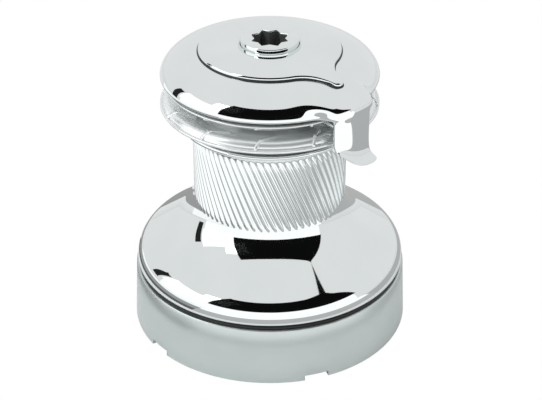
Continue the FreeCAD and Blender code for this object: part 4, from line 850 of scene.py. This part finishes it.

# %% [markdown]
# Under the plate's edge lies a gap in shadow, which draws the plate's outline on the cover
# all the way round. It is painted shadow: a low black ring that is stretched by the same rule.

# %% Painted shadow round the plate
PLATE_SHADOW_ROWS = [(-3.0, -3.3), (0.7, -3.3), (0.7, -2.6), (0.3, -2.1), (-0.1, -1.9), (-3.0, -1.9)]
plate_shadow_section = [(PLATE_CIRCLE + inset, drop) for inset, drop in PLATE_SHADOW_ROWS]
plate_shadow_mesh = lathe(plate_shadow_section, PLATE_COLUMNS)
move_each(plate_shadow_mesh, stretch_plate)
# A black ring of painted shadow under the plate's edge.
finish_piece(plate_shadow_mesh, "plate_painted_shadow", FINISHES["black_polymer"], "base")


# %% [markdown]
# The handle socket is a thick ring with a star of eight points, which is two
# squares laid over each other. The ring is spun, and the columns of the hole are
# pulled out to the star.

# %% Handle socket
STAR_HALF = 8.8
STAR_TURN = math.radians(22.5)
SOCKET_COLUMNS = 128
STAR_WALL = 6.0
STAR_FLOOR = 175.0
STAR_POINTS = 8


def star_radius(angle):
    """Distance from the centre to the star's outline."""
    eighth = FULL_TURN / STAR_POINTS
    from_tip = (angle - STAR_TURN + eighth / 2) % eighth - eighth / 2
    return STAR_HALF / math.cos(eighth - abs(from_tip))


socket_section = [(STAR_WALL, 175.3), (STAR_WALL, 190.0), (STAR_WALL, 199.4),
                  (STAR_WALL + 0.3, 199.9), (STAR_WALL + 0.9, 200.2), (17.6, 200.3), (18.1, 200.15),
                  (18.35, 199.8), (18.45, 199.3), (18.5, 187.2), (18.3, 187.0), (16.8, 187.0),
                  (16.8, 158.0), (10.5, 158.0), (10.5, 172.0), (0.0, 172.0), (0.0, 175.3)]


def pull_star(radius, angle, height):
    """Pull the hole's wall and its chamfer out to the star."""
    if STAR_WALL - 0.01 < radius < STAR_WALL + 1.0 and height > STAR_FLOOR:
        step = radius - STAR_WALL
        return star_radius(angle) + step, angle, height
    return radius, angle, height


socket_mesh = lathe(socket_section, SOCKET_COLUMNS)
move_each(socket_mesh, pull_star)
finish_piece(socket_mesh, "handle_socket_ring", FINISHES["chrome"], "drive_shaft",
             ["handle_socket"])

# %% [markdown]
# The star is deep, its walls are broached and its inside lies in shade. Polished walls would
# mirror the sky down there, so a thin black sheet of painted shade covers the walls and the floor.

# %% Painted shade in the star
star_shade_section = [(0.0, 175.35), (STAR_WALL - 0.05, 175.35), (STAR_WALL - 0.05, 199.3),
                  (STAR_WALL - 0.2, 199.3), (STAR_WALL - 0.2, 175.6), (0.0, 175.6)]


def pull_star_shade(radius, angle, height):
    """Pull all of the painted shade but its middle out to the star."""
    if radius > 1.0:
        return star_radius(angle) + radius - STAR_WALL, angle, height
    return radius, angle, height


star_shade_mesh = lathe(star_shade_section, SOCKET_COLUMNS)
move_each(star_shade_mesh, pull_star_shade)
# A thin black sheet of painted shade over the star's walls and floor.
finish_piece(star_shade_mesh, "star_painted_shade", FINISHES["black_polymer"], "drive_shaft")


# %% [markdown]
# The camera stands where the photograph's did: its place was worked out from the
# ellipses of the base, the jaws and the socket. The frame is 542 by 400 pixels.

# %% Camera
CAMERA_BACK, CAMERA_UP = 0.8994, 0.6210
CAMERA_PITCH, CAMERA_YAW = 0.540077, 0.00089
FOCAL_PIXELS, FRAME_WIDTH = 1582.1, 542.0
SENSOR_WIDTH = 36.0

lens_data = bpy.data.cameras.new("camera")
lens_data.sensor_width = SENSOR_WIDTH
lens_data.lens = FOCAL_PIXELS * SENSOR_WIDTH / FRAME_WIDTH
lens_data.dof.use_dof = False
camera = bpy.data.objects.new("camera", lens_data)
camera.location = (0.0, -CAMERA_BACK, CAMERA_UP)
camera.rotation_euler = (math.pi / 2 - CAMERA_PITCH, 0.0, -CAMERA_YAW)
bpy.context.scene.collection.objects.link(camera)
bpy.context.scene.camera = camera
bpy.context.scene.view_settings.view_transform = "Standard"
print("lens in mm:", round(lens_data.lens, 2))


# %% [markdown]
# A studio for chrome is mostly what the chrome sees. The floor and the world are
# white to the camera, and a pale tent to mirrors. Curved cards stand round the
# winch: a black one in front draws the dark bands that give the metal its edge, a
# white one on the left gives the bright patches, a thin dark one beyond it ends
# them, and a white glow low down behind the rest gives the thin bright lines. Flat
# sectors on the floor give greys to upright walls, which mirror the ground: the near
# and middle ones are painted shadow, the floor darkened round the winch's base, and
# the far ones are plain bright floor. The camera sees neither the cards nor the sectors.

# %% Helpers for the studio
CARD_ROWS, CARD_COLUMNS, SECTOR_COLUMNS = 12, 24, 48
CARD_CENTRE = 0.1
SECTOR_LIFT = 0.0004


def stage_material(name, level):
    """Gives off an even level of white."""
    material = bpy.data.materials.new(name)
    material.use_nodes = True
    tree = material.node_tree
    tree.nodes.remove(tree.nodes["Principled BSDF"])
    glow = add_node(tree, "ShaderNodeEmission")
    glow.inputs["Strength"].default_value = level
    tree.links.new(glow.outputs["Emission"], tree.nodes["Material Output"].inputs["Surface"])
    return material


def place_card(bm, name, level, lights):
    """Turn a bmesh in metres into a stage piece that the camera can't see."""
    mesh = bpy.data.meshes.new(name)
    bm.to_mesh(mesh)
    bm.free()
    card = bpy.data.objects.new(name, mesh)
    card.data.materials.append(stage_material(name, level))
    bpy.context.scene.collection.objects.link(card)
    card.visible_camera = False
    card.visible_shadow = False
    card.visible_diffuse = lights
    print(name, "gives off a level of", level)


def sweep_card(bm, points, azimuths, steps, lift):
    """Sweep a line of points in front of the winch from one azimuth to another."""
    edges = [bm.edges.new(pair) for pair in zip(points[:-1], points[1:])]
    start, end = (math.radians(value) for value in azimuths)
    bmesh.ops.rotate(bm, verts=points, cent=(0, 0, 0), matrix=turn_about_z(start))
    bmesh.ops.spin(bm, geom=points + edges, cent=(0, 0, 0), axis=(0, 0, 1), angle=end - start,
                   steps=steps, use_duplicate=False)
    bmesh.ops.translate(bm, vec=(0.0, 0.0, lift), verts=bm.verts)


def add_card(name, level, azimuths, elevations, distance, lights=False):
    """A curved card between two azimuths and two elevations in degrees."""
    bm = bmesh.new()
    low, high = elevations
    points = []
    for row in range(CARD_ROWS + 1):
        rise = math.radians(low + (high - low) * row / CARD_ROWS)
        points.append(bm.verts.new((0.0, -distance * math.cos(rise), distance * math.sin(rise))))
    sweep_card(bm, points, azimuths, CARD_COLUMNS, CARD_CENTRE)
    place_card(bm, name, level, lights)


def add_floor_sector(name, level, azimuths, radii):
    """A flat sector just above the floor, between two radii in metres."""
    bm = bmesh.new()
    points = [bm.verts.new((0.0, -radius, 0.0)) for radius in radii]
    sweep_card(bm, points, azimuths, SECTOR_COLUMNS, SECTOR_LIFT)
    place_card(bm, name, level, False)


# %% [markdown]
# Each card has a level of light, its azimuths from the front towards the right, its
# elevations and its distance in metres. Only the white card lights dull surfaces.
# The sectors have a nearer and a farther radius in place of elevations.

# %% Cards and floor sectors
add_card("black_card", 0.004, (-50.0, 72.0), (16.0, 59.0), 0.65)
add_card("white_card", 1.35, (-98.0, -50.0), (12.0, 38.0), 0.7, lights=True)
add_card("dark_card", 0.02, (-108.0, -100.0), (2.0, 32.0), 0.68)
add_card("front_glow", 1.2, (-98.0, 72.0), (-3.0, 26.0), 1.6)
# The near and middle sectors are painted shadow: the floor darker round the winch's base, as the
# chrome mirrors it.
add_floor_sector("front_near_painted_shadow", 0.52, (-50.0, 76.0), (0.155, 0.30))
add_floor_sector("front_far", 1.2, (-50.0, 76.0), (0.30, 1.6))
add_floor_sector("right_near_painted_shadow", 0.48, (76.0, 180.0), (0.155, 0.5))
add_floor_sector("left_near_painted_shadow", 0.13, (-130.0, -50.0), (0.155, 0.2))
add_floor_sector("left_middle_painted_shadow", 0.36, (-160.0, -50.0), (0.20, 0.40))
add_floor_sector("left_far", 1.1, (-130.0, -50.0), (0.40, 1.6))


# %% [markdown]
# The floor is a dull white surface for light and mirrors. The camera sees it as pure
# white instead, so the background is white with no lamp turned up for it.

# %% Floor
FLOOR_SIZE, FLOOR_WHITE, FLOOR_ROUGHNESS = 4.0, 0.9, 0.9


def make_floor():
    """A square floor, pure white to the camera."""
    bm = bmesh.new()
    bmesh.ops.create_grid(bm, x_segments=1, y_segments=1, size=FLOOR_SIZE)
    mesh = bpy.data.meshes.new("floor")
    bm.to_mesh(mesh)
    bm.free()
    floor = bpy.data.objects.new("floor", mesh)
    bpy.context.scene.collection.objects.link(floor)
    material = bpy.data.materials.new("floor_white")
    material.use_nodes = True
    tree = material.node_tree
    shader = tree.nodes["Principled BSDF"]
    shader.inputs["Base Color"].default_value = (FLOOR_WHITE, FLOOR_WHITE, FLOOR_WHITE, 1.0)
    shader.inputs["Roughness"].default_value = FLOOR_ROUGHNESS
    glow = add_node(tree, "ShaderNodeEmission")
    glow.inputs["Strength"].default_value = 1.0
    path = add_node(tree, "ShaderNodeLightPath")
    mix = add_node(tree, "ShaderNodeMixShader")
    seen = add_math(tree, "MAXIMUM", path.outputs["Is Camera Ray"],
                    path.outputs["Is Transmission Ray"])
    tree.links.new(seen, mix.inputs["Fac"])
    tree.links.new(shader.outputs["BSDF"], mix.inputs[1])
    tree.links.new(glow.outputs["Emission"], mix.inputs[2])
    tree.links.new(mix.outputs["Shader"], tree.nodes["Material Output"].inputs["Surface"])
    floor.data.materials.append(material)
    print("floor:", 2 * FLOOR_SIZE, "metres wide")


make_floor()

# %% [markdown]
# The world is the tent. It stays a little below white for mirrors, so that chrome
# facing up reads as a calm pale grey against the white background. A soft lamp in
# front on the left gives the dull surfaces a brighter side.

# %% World and lamp
TENT_LEVEL = 0.84
world = bpy.data.worlds.new("studio")
bpy.context.scene.world = world
world.use_nodes = True
sky = world.node_tree
backdrop = sky.nodes["Background"]
backdrop.inputs["Color"].default_value = (1.0, 1.0, 1.0, 1.0)
ray = add_node(sky, "ShaderNodeLightPath")
level = add_node(sky, "ShaderNodeMapRange")
level.inputs["To Min"].default_value = TENT_LEVEL
level.inputs["To Max"].default_value = 1.0
sky.links.new(ray.outputs["Is Camera Ray"], level.inputs["Value"])
sky.links.new(level.outputs["Result"], backdrop.inputs["Strength"])


def add_lamp(name, place, size, watts):
    """A square soft lamp that faces the winch."""
    data = bpy.data.lights.new(name, "AREA")
    data.size = size
    data.energy = watts
    lamp = bpy.data.objects.new(name, data)
    lamp.location = place
    lamp.rotation_euler = Vector(place).to_track_quat("Z", "Y").to_euler()
    bpy.context.scene.collection.objects.link(lamp)
    print(name, "gives", watts, "watts")


add_lamp("key_left", (-1.1, -0.9, 1.3), size=0.8, watts=6.0)
